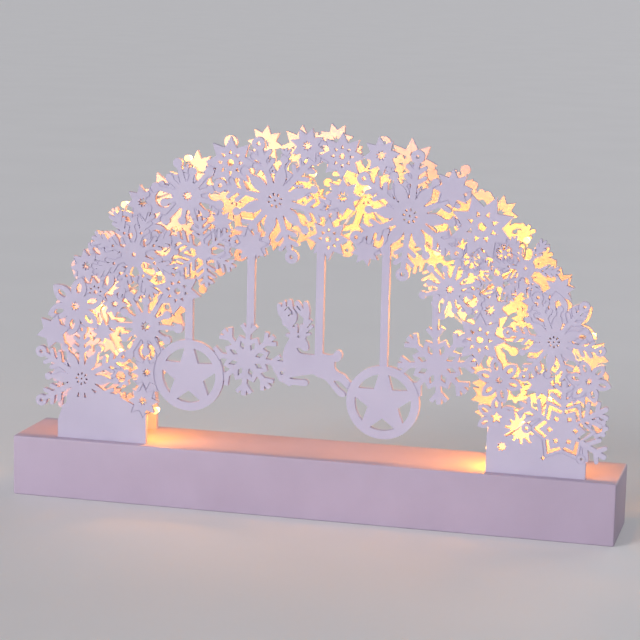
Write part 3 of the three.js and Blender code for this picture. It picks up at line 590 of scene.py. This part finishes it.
def top_state(owners):
    """What the uppermost of the layers over a place leaves there."""
    state = NOTHING
    for _, part in sorted(owners):
        if part == ADDED:
            state = FACE
        elif part == CUT or state == NOTHING:
            state = NOTHING
        else:
            state = GROOVE
    return state


def lace_plan(with_chain):
    """The front of a board: points, and triangles with the state of each, FACE or GROOVE."""
    outlines, owners = [], []
    for level, shapes in enumerate(layers(with_chain)):
        for part in (GROWN, ADDED, CUT):
            outlines += shapes[part]
            owners += [(level, part)] * len(shapes[part])
    points, faces, inside = filled(outlines)
    states = [top_state([owners[k] for k in found]) for found in inside]
    whole = lines_round([face for face, state in zip(faces, states) if state != NOTHING], points)
    scored = lines_round([face for face, state in zip(faces, states) if state == GROOVE], points)

    points, faces, inside = filled([anticlockwise(line) for line in whole + scored])
    plan = []
    for face, found in zip(faces, inside):
        in_board = sum(k < len(whole) for k in found) % 2
        in_groove = sum(k >= len(whole) for k in found) % 2
        if in_board:
            plan.append((face, GROOVE if in_groove else FACE))
    return points, plan


def on_board(u, y, v):
    """A place at (u, v) of the lace, y metres back."""
    return Vector(((u + LACE_SHIFT) * MM, y, BASE_TOP + v * MM))


def lace_mesh(name, with_chain):
    """One closed board: its face, shallow grooves round the upper flakes, and walls down to the back."""
    points, plan = lace_plan(with_chain)
    depth = {FACE: 0.0, GROOVE: GROOVE_DEPTH, BACK: BOARD}
    mesh_points, numbers = [], {}

    def corner(i, level):
        if (i, level) not in numbers:
            numbers[i, level] = len(mesh_points)
            u, v = points[i]
            mesh_points.append(on_board(u, FRONT_LOW.y + depth[level], v))
        return numbers[i, level]

    mesh_faces, slots, edges = [], [], {}
    for face, state in plan:
        mesh_faces.append([corner(i, state) for i in face])
        slots.append(SCORE_SLOT if state == GROOVE else PAINT_SLOT)
        mesh_faces.append([corner(i, BACK) for i in reversed(face)])
        slots.append(PAINT_SLOT)
        edges.update((edge, state) for edge in sides(face))
    for (i, j), state in edges.items():
        other = edges.get((j, i), BACK)
        if state < other:
            down = [numbers[i, level] for level in range(state, other + 1) if (i, level) in numbers]
            up = [numbers[j, level] for level in range(other, state - 1, -1) if (j, level) in numbers]
            mesh_faces.append(down + up)
            slots.append(EDGE_SLOT if other == BACK else SCORE_SLOT)
    mesh = bpy.data.meshes.new(name)
    mesh.from_pydata(mesh_points, [], mesh_faces)
    mesh.polygons.foreach_set("material_index", slots)
    mesh.update()
    return mesh


def back_lace_mesh():
    """The same outline without the chain, turned round behind the middle of the arch."""
    mesh = lace_mesh("back_lace", False)
    mesh.transform(Matrix.Rotation(pi, 4, "Z"))
    return mesh


# Solids of the base, the power supply and the lamps
def in_scene(name, data):
    """A new object in the scene: a mesh, a light or a camera."""
    thing = bpy.data.objects.new(name, data)
    bpy.context.scene.collection.objects.link(thing)
    return thing


def soften(mesh, sharp=radians(32)):
    """Smooth shading, but for the edges sharper than an angle."""
    mesh.polygons.foreach_set("use_smooth", [True] * len(mesh.polygons))
    mesh.set_sharp_from_angle(angle=sharp)
    return mesh


def mesh_of(shape, name):
    mesh = bpy.data.meshes.new(name)
    bmesh.ops.recalc_face_normals(shape, faces=shape.faces[:])
    shape.to_mesh(mesh)
    shape.free()
    return soften(mesh)


def block(low, high, radius=0.0, steps=4):
    """A box between two corners, with rounded edges."""
    shape = bmesh.new()
    bmesh.ops.create_cube(shape, size=1)
    for vert in shape.verts:
        vert.co = [a + (b - a) * (c + 0.5) for a, b, c in zip(low, high, vert.co)]
    if radius:
        edges = shape.edges[:]
        bmesh.ops.bevel(shape, geom=edges, offset=radius, segments=steps, profile=0.5, affect="EDGES")
    return mesh_of(shape, "block")


def lathe(line, place, axis, steps=24):
    """A turned solid along an axis, from a line of (radius, distance) that starts and ends on it."""
    shape = bmesh.new()
    rows = []
    for r, t in line:
        rows.append([shape.verts.new((x, y, t)) for x, y in circle(r, steps if r else 1)])
    for a, b in zip(rows, rows[1:]):
        for k in range(steps):
            j = k + 1
            corners = [a[k % len(a)], a[j % len(a)], b[j % len(b)], b[k % len(b)]]
            shape.faces.new(list(dict.fromkeys(corners)))
    mesh = mesh_of(shape, "turned")
    mesh.transform(Matrix.Translation(place) @ Vector(axis).to_track_quat("Z", "Y").to_matrix().to_4x4())
    return mesh


def tube(points, radius, ease, most=0.45, corners=10):
    """A round lead along a line of points. Each bend is eased, over at most a share of the run beside it."""
    line = [points[0]]
    for before, at, after in zip(points, points[1:], points[2:]):
        near = at + (before - at).normalized() * min(ease, most * (before - at).length)
        far = at + (after - at).normalized() * min(ease, most * (after - at).length)
        line += [near.lerp(at, t).lerp(at.lerp(far, t), t) for t in (0, 0.2, 0.4, 0.6, 0.8, 1)]
    line.append(points[-1])
    shape = bmesh.new()
    rows = []
    side = (line[1] - line[0]).orthogonal().normalized()
    for k, place in enumerate(line):
        ahead = (line[min(k + 1, len(line) - 1)] - line[max(k - 1, 0)]).normalized()
        side = (side - ahead * side.dot(ahead)).normalized()
        other = ahead.cross(side)
        rows.append([shape.verts.new(place + side * x + other * y) for x, y in circle(radius, corners)])
    for a, b in zip(rows, rows[1:]):
        for j in range(corners):
            shape.faces.new((a[j], a[(j + 1) % corners], b[(j + 1) % corners], b[j]))
    shape.faces.new(rows[0][::-1])
    shape.faces.new(rows[-1])
    return mesh_of(shape, "lead")


def carved(mesh, cutters):
    """A mesh with others cut out of it."""
    carving, *tools = [in_scene("carving", data) for data in (mesh, *cutters)]
    for tool in tools:
        modifier = carving.modifiers.new("cut", "BOOLEAN")
        modifier.solver = "EXACT"
        modifier.object = tool
    graph = bpy.context.evaluated_depsgraph_get()
    result = bpy.data.meshes.new_from_object(carving.evaluated_get(graph))
    for thing in (carving, *tools):
        bpy.data.objects.remove(thing)
    return soften(result)


def joined(name, meshes):
    """Meshes put together as one."""
    shape = bmesh.new()
    for mesh in meshes:
        shape.from_mesh(mesh)
    return mesh_of(shape, name)


def on_string(u, v):
    return on_board(u, LEAD_Y, v)


def tab_slots():
    """Cutters for the slots of the tabs: those of the front board and, turned round, of the back one."""
    y0, y1 = FRONT_LOW.y - GAP, FRONT_HIGH.y + GAP
    z0, z1 = TOP_LOW.z - MM, TOP_HIGH.z + MM
    cutters = []
    for left, right in TABS:
        x0, x1 = (left + LACE_SHIFT) * MM - GAP, (right + LACE_SHIFT) * MM + GAP
        cutters += [block((x0, y0, z0), (x1, y1, z1)), block((-x1, -y1, z0), (-x0, -y0, z1))]
    return cutters


def back_opening(x, half_width, z, half_height):
    """A cutter through the back panel, by its middle and half sizes."""
    low = (x - half_width, BASE_BACK - PANEL - MM, z - half_height)
    return block(low, (x + half_width, BASE_BACK + MM, z + half_height))


def base_mesh(edge_radius=1.3 * MM):
    """The painted shell of the base: slots for the tabs, a lead hole, and a mouth and a slot behind."""
    wall = Vector((PANEL, PANEL, PANEL))
    cutters = [block(FLOOR_LOW + wall, TOP_HIGH - wall)] + tab_slots()
    hole = LEAD_RADIUS + GAP
    ends = [(0, -PANEL - MM), (hole, -PANEL - MM), (hole, MM), (0, MM)]
    cutters.append(lathe(ends, on_string(LEAD_HOLE_U, 0), (0, 0, 1)))
    middle, half = (COVER[0] + COVER[1]) / 2, (COVER[1] - COVER[0]) / 2
    rim = HOLDER_WALL + 2 * GAP
    cutters.append(back_opening(middle.x, half.x + rim, middle.z, half.z + rim))
    middle = (KNOB[0] + KNOB[1]) / 2
    cutters.append(back_opening(middle.x, KNOB_HALF + KNOB_TRAVEL + GAP, middle.z, KNOB_HALF + GAP))
    return carved(block(FLOOR_LOW, TOP_HIGH, edge_radius), cutters)


def cover_mesh(edge_radius=0.4 * MM):
    """The bay cover: a plate with grip grooves and a dip for the thumb."""
    low, high = COVER
    first, pitch, margin = 5 * MM, 2.4 * MM, 4 * MM
    groove_width, groove_depth = 1.3 * MM, 0.5 * MM
    cutters = []
    for k in range(9):
        x = low.x + first + k * pitch
        cutters.append(block(
            (x, high.y - groove_depth, low.z + margin),
            (x + groove_width, high.y + MM, high.z - margin),
        ))
    radius, depth, from_end = 5 * MM, 1.1 * MM, 8 * MM
    bowl = [(radius * sin(a), -depth * cos(a)) for a in (0.4, 0.8, 1.2, pi / 2)]
    dip = [(0, -depth)] + bowl + [(radius, MM), (0, MM)]
    cutters.append(lathe(dip, (high.x - from_end, high.y, (low.z + high.z) / 2), (0, 1, 0), steps=32))
    return carved(block(low, high, edge_radius), cutters)


def cell_mesh(node, towards):
    """A cell: sleeve with turned-in ends, the can, a crimp and the nub at the plus end."""
    low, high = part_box(node)
    centre = (low + high) / 2
    radius, half = (high.z - low.z) / 2, (high.x - low.x) / 2
    minus_end = [(0, -half), (0.8 * radius, -half), (0.9 * radius, 0.3 * MM - half)]
    sleeve_line = [
        (radius - 0.3 * MM, 0.2 * MM - half), (radius, 0.8 * MM - half), (radius, half - 2 * MM),
        (radius - 0.4 * MM, half - 1.4 * MM), (radius - 0.9 * MM, half - 1.2 * MM),
    ]
    crimp = [(radius - 1.1 * MM, half - 1.5 * MM), (0.45 * radius, half - 1.5 * MM)]
    nub = [
        (0.43 * radius, half - 1.1 * MM), (0.38 * radius, half - 0.9 * MM),
        (0.37 * radius, half - 0.2 * MM), (0.32 * radius, half), (0, half),
    ]
    mesh = lathe(minus_end + sleeve_line + crimp + nub, centre, (towards, 0, 0), steps=40)
    bare = 0.93 * radius
    for face in mesh.polygons:
        place = face.center - centre
        if hypot(place.y, place.z) < bare:
            face.material_index = 1
    return mesh


def knob_mesh():
    """The slide of the switch with its knob, grooved across."""
    low, high = KNOB
    middle = (low + high) / 2
    slide_edge, knob_edge = 0.15 * MM, 0.3 * MM
    slide = block(low, (high.x, SWITCH_FACE - GAP, high.z), slide_edge, steps=2)
    root = (low.y + SWITCH_FACE) / 2
    tip = block(
        (middle.x - KNOB_HALF, root, middle.z - KNOB_HALF),
        (middle.x + KNOB_HALF, high.y, middle.z + KNOB_HALF),
        knob_edge, steps=3,
    )
    pitch, half_groove, groove_depth = 0.8 * MM, 0.18 * MM, 0.35 * MM
    grooves = []
    for k in (-1, 0, 1):
        x = middle.x + k * pitch
        grooves.append(block(
            (x - half_groove, high.y - groove_depth, low.z - MM),
            (x + half_groove, high.y + MM, high.z + MM),
        ))
    return joined("knob", [slide, carved(tip, grooves)])


def chip_mesh():
    """The chip: a low body with eight bent legs that stand on the circuit."""
    low, high = CHIP_LOW, CHIP_HIGH
    inset, clearance, edge_radius = 1.1 * MM, 0.1 * MM, 0.15 * MM
    body_high = (high.x, high.y - clearance, high.z - inset)
    parts = [block((low.x, low.y, low.z + inset), body_high, edge_radius, steps=2)]
    first, pitch, leg_width = 0.9 * MM, 1.27 * MM, 0.4 * MM
    sheet, overlap, root = 0.2 * MM, 0.05 * MM, 0.1 * MM
    foot_length, shoulder = 0.5 * MM, high.y - 0.9 * MM
    for k in range(4):
        x = low.x + first + k * pitch
        for outer, inward in ((low.z, 1), (high.z, -1)):
            bend = outer + inward * foot_length
            foot = sorted((outer, bend))
            rise = sorted((bend - inward * (sheet - overlap), bend + inward * overlap))
            arm = sorted((bend, outer + inward * (inset + root)))
            parts.append(block((x, high.y - sheet, foot[0]), (x + leg_width, high.y, foot[1])))
            parts.append(block((x, shoulder, rise[0]), (x + leg_width, high.y, rise[1])))
            parts.append(block((x, shoulder, arm[0]), (x + leg_width, shoulder + sheet, arm[1])))
    return joined("chip", parts)


def bulb_mesh(node):
    """A lamp: flange, round body and dome, pointing to the back board."""
    low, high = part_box(node)
    middle = (low + high) / 2
    length, rim, body = high.y - low.y, (high.z - low.z) / 2, 1.95 * MM
    flange = [(0, 0), (rim, 0), (rim, 0.9 * MM), (body, 1.1 * MM)]
    dome = [(body * cos(a), length - body + body * sin(a)) for a in (0, 0.3, 0.6, 0.9, 1.2, 1.4)]
    return lathe(flange + dome + [(0, length)], (middle.x, low.y, middle.z), (0, 1, 0), steps=20)


def wire_mesh():
    """The lead of the lamps: from the circuit through the base and its top, then past every lamp."""
    middle = (CHIP_LOW + CHIP_HIGH) / 2
    beside_chip = middle.x + (CHIP_HIGH.x - CHIP_LOW.x)
    under_hole = on_string(LEAD_HOLE_U, 0) - Vector((0, 0, PANEL + 2 * LEAD_RADIUS))
    route = [
        Vector((beside_chip, CIRCUIT_LOW.y, middle.z)),
        Vector((beside_chip, CIRCUIT_LOW.y - 4 * LEAD_RADIUS, middle.z)),
        Vector((CIRCUIT_LOW.x, HOLDER_FACE - LEAD_REACH, middle.z)),
        Vector((FLOOR_LOW.x / 4, 0, PANEL + LEAD_REACH / 2)),
        Vector((under_hole.x + 2 * LEAD_REACH, LEAD_Y + LEAD_REACH, middle.z)),
        under_hole,
    ]
    return tube(route + [on_string(u, v) for u, v, _ in STRING], LEAD_RADIUS, LEAD_EASE)


# The pieces that stand for CAD nodes
def new_piece(name, mesh, body, *nodes):
    """A new piece in the scene that rides on a body and stands for CAD nodes."""
    piece = in_scene(name, mesh)
    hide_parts(*nodes)
    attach(piece, body)
    return piece


front = new_piece("front_lace", lace_mesh("front_lace", True), "arch", "front_board")
back = new_piece("back_lace", back_lace_mesh(), "arch", "back_board")
base = new_piece(
    "base_shell", base_mesh(), "arch",
    "base_top", "base_bottom", "base_front", "base_back", "base_end_left", "base_end_right",
)
cover = new_piece("bay_cover", cover_mesh(), "cover", "cell_cover")
knob = new_piece("knob", knob_mesh(), "switch", "switch_knob")
cells = [
    new_piece("cell_low", cell_mesh("cell_lower", 1), "arch", "cell_lower"),
    new_piece("cell_high", cell_mesh("cell_upper", -1), "arch", "cell_upper"),
]
chip = new_piece("chip", chip_mesh(), "arch", "timer_chip")
bulbs = [new_piece(node.replace("lamp", "bulb"), bulb_mesh(node), "arch", node) for node in LAMPS]
lead = new_piece("lamp_wire", wire_mesh(), "arch", "lamp_lead")


# Materials. A pair of tones is the darker and the paler end of an uneven colour.
class Nodes:
    """Short way to build a node tree."""

    def __init__(self, tree):
        self.tree = tree

    def add(self, kind, **values):
        """A new node, with values for its sockets and settings."""
        node = self.tree.nodes.new(kind)
        for key, value in values.items():
            if key in node.inputs:
                node.inputs[key].default_value = value
            else:
                setattr(node, key, value)
        return node

    def link(self, source, target):
        self.tree.links.new(source, target)

    def mapped(self, **values):
        """The place on a piece, turned or stretched."""
        node = self.add("ShaderNodeMapping", **values)
        self.link(self.add("ShaderNodeTexCoord").outputs["Object"], node.inputs["Vector"])
        return node.outputs["Vector"]

    def coordinate(self, axis):
        split = self.add("ShaderNodeSeparateXYZ")
        self.link(self.mapped(), split.inputs["Vector"])
        return split.outputs[axis]

    def noise(self, scale, detail, stretch=(1, 1, 1)):
        texture = self.add("ShaderNodeTexNoise", Scale=scale, Detail=detail)
        self.link(self.mapped(Scale=stretch), texture.inputs["Vector"])
        return texture.outputs["Fac"]

    def ramp(self, value, tones, start=0.3, end=0.7):
        node = self.add("ShaderNodeValToRGB")
        for stop, place, tone in zip(node.color_ramp.elements, (start, end), tones):
            stop.position = place
            stop.color = (*tone, 1)
        self.link(value, node.inputs["Fac"])
        return node.outputs["Color"]

    def span(self, value, low, high, start=0.0, end=1.0):
        node = self.add("ShaderNodeMapRange")
        for key, number in (("From Min", start), ("From Max", end), ("To Min", low), ("To Max", high)):
            node.inputs[key].default_value = number
        self.link(value, node.inputs["Value"])
        return node.outputs["Result"]

    def compute(self, operation, first, second=None):
        """An operation on the value of a socket and, where it takes two, a second socket or number."""
        node = self.add("ShaderNodeMath", operation=operation)
        self.link(first, node.inputs[0])
        if isinstance(second, float):
            node.inputs[1].default_value = second
        elif second:
            self.link(second, node.inputs[1])
        return node.outputs["Value"]

    def shown_background(self):
        """1 for the rays that show a background, plainly or in a reflection, and 0 for those that light."""
        rays = self.add("ShaderNodeLightPath").outputs
        mirrored = self.compute("MAXIMUM", rays["Is Glossy Ray"], rays["Is Transmission Ray"])
        return self.compute("MAXIMUM", rays["Is Camera Ray"], mirrored)


class Surface(Nodes):
    """A new material."""

    def __init__(self, name):
        self.material = bpy.data.materials.new(name)
        self.material.use_nodes = True
        super().__init__(self.material.node_tree)
        self.sockets = self.tree.nodes["Principled BSDF"].inputs

    def set(self, key, value):
        self.sockets[key].default_value = value

    def feed(self, key, source):
        self.link(source, self.sockets[key])

    def tint(self, tones, scale, detail):
        """An uneven colour."""
        self.feed("Base Color", self.ramp(self.noise(scale, detail), tones))

    def gloss(self, low, high, scale, detail):
        """An uneven roughness."""
        self.feed("Roughness", self.span(self.noise(scale, detail), low, high))

    def bump(self, value, height):
        node = self.add("ShaderNodeBump", Strength=1.0, Distance=height)
        self.link(value, node.inputs["Height"])
        self.feed("Normal", node.outputs["Normal"])


def paint(name, tones, roughness):
    """Satin paint on fibre board: a little uneven in tone and gloss, with a faint roller texture."""
    s = Surface(name)
    s.tint(tones, scale=22, detail=5)
    s.gloss(roughness - 0.06, roughness + 0.08, scale=60, detail=3)
    s.bump(s.noise(scale=900, detail=2), height=0.06 * MM)
    return s.material


def cut_edge():
    """The painted edge of the cut: scores from the beam that run from face to face."""
    s = Surface("cut_edge_paint")
    s.tint(((0.58, 0.55, 0.62), (0.66, 0.63, 0.70)), scale=40, detail=4)
    s.set("Roughness", 0.62)
    s.bump(s.noise(scale=1500, detail=2, stretch=(1, 0.03, 1)), height=0.1 * MM)
    return s.material


def score_burn_and_shade():
    """The thin line scored round each upper flake: a real burn, painted nearly black as painted shade in the
    narrow groove.
    """
    s = Surface("score_burn_and_shade")
    # Nearly black: the burn of the beam, darkened further by painted shade for the depth of the groove
    s.tint(((0.05, 0.04, 0.045), (0.09, 0.075, 0.08)), scale=90, detail=3)
    s.set("Roughness", 0.8)
    return s.material


def plastic(name, tones, roughness):
    """Moulded plastic: an even colour with a fine grain."""
    s = Surface(name)
    s.tint(tones, scale=120, detail=3)
    s.gloss(roughness - 0.05, roughness + 0.07, scale=200, detail=2)
    s.bump(s.noise(scale=2500, detail=2), height=0.03 * MM)
    return s.material


def metal(name, tones, stretch):
    """Plated sheet with fine marks, drawn out by a stretch."""
    s = Surface(name)
    marks = s.noise(scale=3000, detail=3, stretch=stretch)
    s.feed("Base Color", s.ramp(marks, tones))
    s.feed("Roughness", s.span(marks, 0.22, 0.4))
    s.set("Metallic", 1.0)
    s.bump(marks, height=0.01 * MM)
    return s.material


def sleeve(band_start=18 * MM):
    """The printed sleeve of a cell: green, with a bright band at both ends."""
    s = Surface("cell_sleeve")
    in_band = s.compute("GREATER_THAN", s.compute("ABSOLUTE", s.coordinate("X")), band_start)
    green = s.ramp(s.noise(scale=80, detail=3), ((0.016, 0.075, 0.045), (0.022, 0.095, 0.06)))
    mix = s.add("ShaderNodeMix", data_type="RGBA")
    s.link(in_band, mix.inputs["Factor"])
    s.link(green, mix.inputs["A"])
    mix.inputs["B"].default_value = (0.55, 0.52, 0.44, 1)
    s.feed("Base Color", mix.outputs["Result"])
    s.gloss(0.25, 0.36, scale=150, detail=2)
    s.set("Metallic", 0.3)
    return s.material


def solder_mask():
    """The circuit board: green mask with traces a shade lighter."""
    s = Surface("circuit_green")
    traces = s.add(
        "ShaderNodeTexBrick", Scale=300,
        Color1=(0.02, 0.13, 0.06, 1), Color2=(0.025, 0.15, 0.07, 1), Mortar=(0.05, 0.24, 0.12, 1),
    )
    s.link(s.mapped(Rotation=(pi / 2, 0, 0)), traces.inputs["Vector"])
    s.feed("Base Color", traces.outputs["Color"])
    s.gloss(0.3, 0.42, scale=200, detail=2)
    return s.material


def lit_resin(glow_length=5 * MM):
    """Clear resin lit from inside: cream at the tip, amber towards the flange."""
    s = Surface("lamp_resin")
    flange = LEAD_Y + LEAD_RADIUS
    along = s.span(s.coordinate("Y"), 0.0, 1.0, flange, flange + glow_length)
    s.feed("Emission Color", s.ramp(along, ((1.0, 0.36, 0.06), (1.0, 0.74, 0.34)), 0.0, 1.0))
    s.set("Emission Strength", 5.0)
    s.tint(((0.9, 0.75, 0.5), (0.95, 0.8, 0.56)), scale=300, detail=2)
    s.set("Roughness", 0.15)
    return s.material


def dress(thing, slot, *materials):
    """Give a piece or a CAD node its materials. The slot that they stand for is not used."""
    thing.data.materials.clear()
    for material in materials:
        thing.data.materials.append(material)


LILAC = (0.59, 0.54, 0.69), (0.65, 0.60, 0.75)
MAUVE = (0.49, 0.40, 0.52), (0.54, 0.445, 0.575)
BLACK = (0.016, 0.016, 0.018), (0.026, 0.026, 0.028)
DEEP_BLACK = (0.012, 0.012, 0.013), (0.02, 0.02, 0.022)
LEAD_BLACK = (0.012, 0.012, 0.013), (0.02, 0.02, 0.021)
RED = (0.25, 0.012, 0.01), (0.33, 0.02, 0.016)
CREAM = (0.70, 0.66, 0.60), (0.78, 0.74, 0.68)
NICKEL = (0.62, 0.60, 0.56), (0.74, 0.72, 0.68)
STEEL = (0.66, 0.65, 0.63), (0.76, 0.75, 0.73)

board_paint = paint("board_paint", LILAC, 0.52)
edge, burnt_shaded_score = cut_edge(), score_burn_and_shade()
for lace in (front, back):
    dress(lace, "board_paint", board_paint, edge, burnt_shaded_score)
dress(base, "base_paint", paint("base_paint", MAUVE, 0.46))

black = plastic("holder_plastic", BLACK, 0.45)
for thing in (cad["cell_holder"], cover, knob):
    dress(thing, "holder_plastic", black)
dress(chip, "holder_plastic", plastic("chip_body", DEEP_BLACK, 0.55))
plated = metal("contact_sheet", NICKEL, (1, 1, 0.05))
for node in ("contact_bridge", "contact_plus", "contact_minus", "switch_body"):
    dress(cad[node], "contact_sheet", plated)
can = metal("cell_can", STEEL, (1, 1, 1))
printed = sleeve()
for cell in cells:
    dress(cell, "cell_sleeve", printed, can)
dress(cad["timer_circuit"], "circuit_green", solder_mask())
dress(cad["lead_plus"], "lead_red", plastic("lead_red", RED, 0.3))
dress(cad["lead_minus"], "lead_black", plastic("lead_black", LEAD_BLACK, 0.3))
dress(lead, "lead_cream", plastic("lead_cream", CREAM, 0.3))
resin = lit_resin()
for bulb in bulbs:
    dress(bulb, "lamp_resin", resin)

# The camera's place and angles, solved from the corners of the base and the feet in the photograph
PHOTO_WIDTH = 640
FOCAL_PIXELS = 2149.3
SENSOR_WIDTH = 36
CAMERA_PLACE = Vector((378.8, -1494.6, 412.4)) * MM
CAMERA_YAW = radians(-14.187)
CAMERA_PITCH = radians(9.964)
CAMERA_ROLL = radians(1.26)

# Light, as linear colours and strengths
LAMP_POWER = 0.064
LAMP_COLOR = (1.0, 0.355, 0.015)
LAMP_GLOW_RADIUS = 2 * MM
LAMP_GLOW_GAP = 2.5 * MM
SKY_COLOR = (0.93, 0.94, 1.0)
SKY_LIGHT, SKY_SHOWN = 0.2, 0.45
FLOOR_REACH = 40.0
FLOOR_TONES = (0.71, 0.71, 0.72), (0.73, 0.73, 0.74)
FLOOR_LIFT = 0.09


def add_camera():
    ahead = Vector((
        sin(CAMERA_YAW) * cos(CAMERA_PITCH), cos(CAMERA_YAW) * cos(CAMERA_PITCH), -sin(CAMERA_PITCH),
    ))
    level = Vector((cos(CAMERA_YAW), -sin(CAMERA_YAW), 0))
    upright = level.cross(ahead)
    right = cos(CAMERA_ROLL) * level + sin(CAMERA_ROLL) * upright
    up = cos(CAMERA_ROLL) * upright - sin(CAMERA_ROLL) * level
    data = bpy.data.cameras.new("camera")
    data.sensor_width = SENSOR_WIDTH
    data.lens = SENSOR_WIDTH * FOCAL_PIXELS / PHOTO_WIDTH
    camera = in_scene("camera", data)
    place = Matrix((right, up, -ahead)).transposed().to_4x4()
    place.translation = CAMERA_PLACE
    camera.matrix_world = place
    bpy.context.scene.camera = camera


def soft_light(name, azimuth, elevation, spread, strength, color):
    """An even soft light from far off, like a wide screen. Azimuth 0 is the front and 90 the right."""
    data = bpy.data.lights.new(name, "SUN")
    data.angle = radians(spread)
    data.energy = strength
    data.color = color
    lamp = in_scene(name, data)
    a, e = radians(azimuth), radians(elevation)
    place = Vector((sin(a) * cos(e), -cos(a) * cos(e), sin(e)))
    lamp.location = place
    lamp.rotation_euler = (-place).to_track_quat("-Z", "Y").to_euler()


def add_lamp_light():
    """The warm light that each lamp throws on the boards and the base."""
    data = bpy.data.lights.new("lamp_light", "POINT")
    data.energy = LAMP_POWER
    data.color = LAMP_COLOR
    data.shadow_soft_size = LAMP_GLOW_RADIUS
    for node in LAMPS:
        low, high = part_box(node)
        light = in_scene("light_of_" + node, data)
        light.location = ((low.x + high.x) / 2, high.y + LAMP_GLOW_GAP, (low.z + high.z) / 2)


def add_studio():
    """Three soft lights and an even sky, shown paler than it lights."""
    soft_light("key_light", azimuth=-42, elevation=17, spread=35, strength=2.05, color=(1.0, 0.97, 0.99))
    soft_light("fill_light", azimuth=20, elevation=15, spread=60, strength=0.4, color=(0.94, 0.95, 1.0))
    soft_light("back_light", azimuth=155, elevation=20, spread=50, strength=0.7, color=(0.97, 0.97, 1.0))
    world = bpy.data.worlds.new("studio")
    world.use_nodes = True
    bpy.context.scene.world = world
    n = Nodes(world.node_tree)
    background = world.node_tree.nodes["Background"]
    background.inputs["Color"].default_value = (*SKY_COLOR, 1)
    n.link(n.span(n.shown_background(), SKY_LIGHT, SKY_SHOWN), background.inputs["Strength"])


def add_floor():
    """A wide flat floor, made a little paler for the rays that show it as background."""
    mesh = bpy.data.meshes.new("floor")
    outline = rectangle(-FLOOR_REACH, FLOOR_REACH, -FLOOR_REACH, FLOOR_REACH)
    mesh.from_pydata([(x, y, FLOOR_LOW.z) for x, y in outline], [], [(0, 1, 2, 3)])
    floor = in_scene("floor", mesh)
    s = Surface("floor_sweep")
    s.tint(FLOOR_TONES, scale=6, detail=3)
    s.set("Roughness", 0.7)
    s.feed("Emission Strength", s.span(s.shown_background(), 0.0, FLOOR_LIFT))
    s.set("Emission Color", (1.0, 1.0, 1.0, 1))
    mesh.materials.append(s.material)


add_camera()
add_studio()
add_lamp_light()
add_floor()
bpy.context.scene.view_settings.view_transform = "Standard"
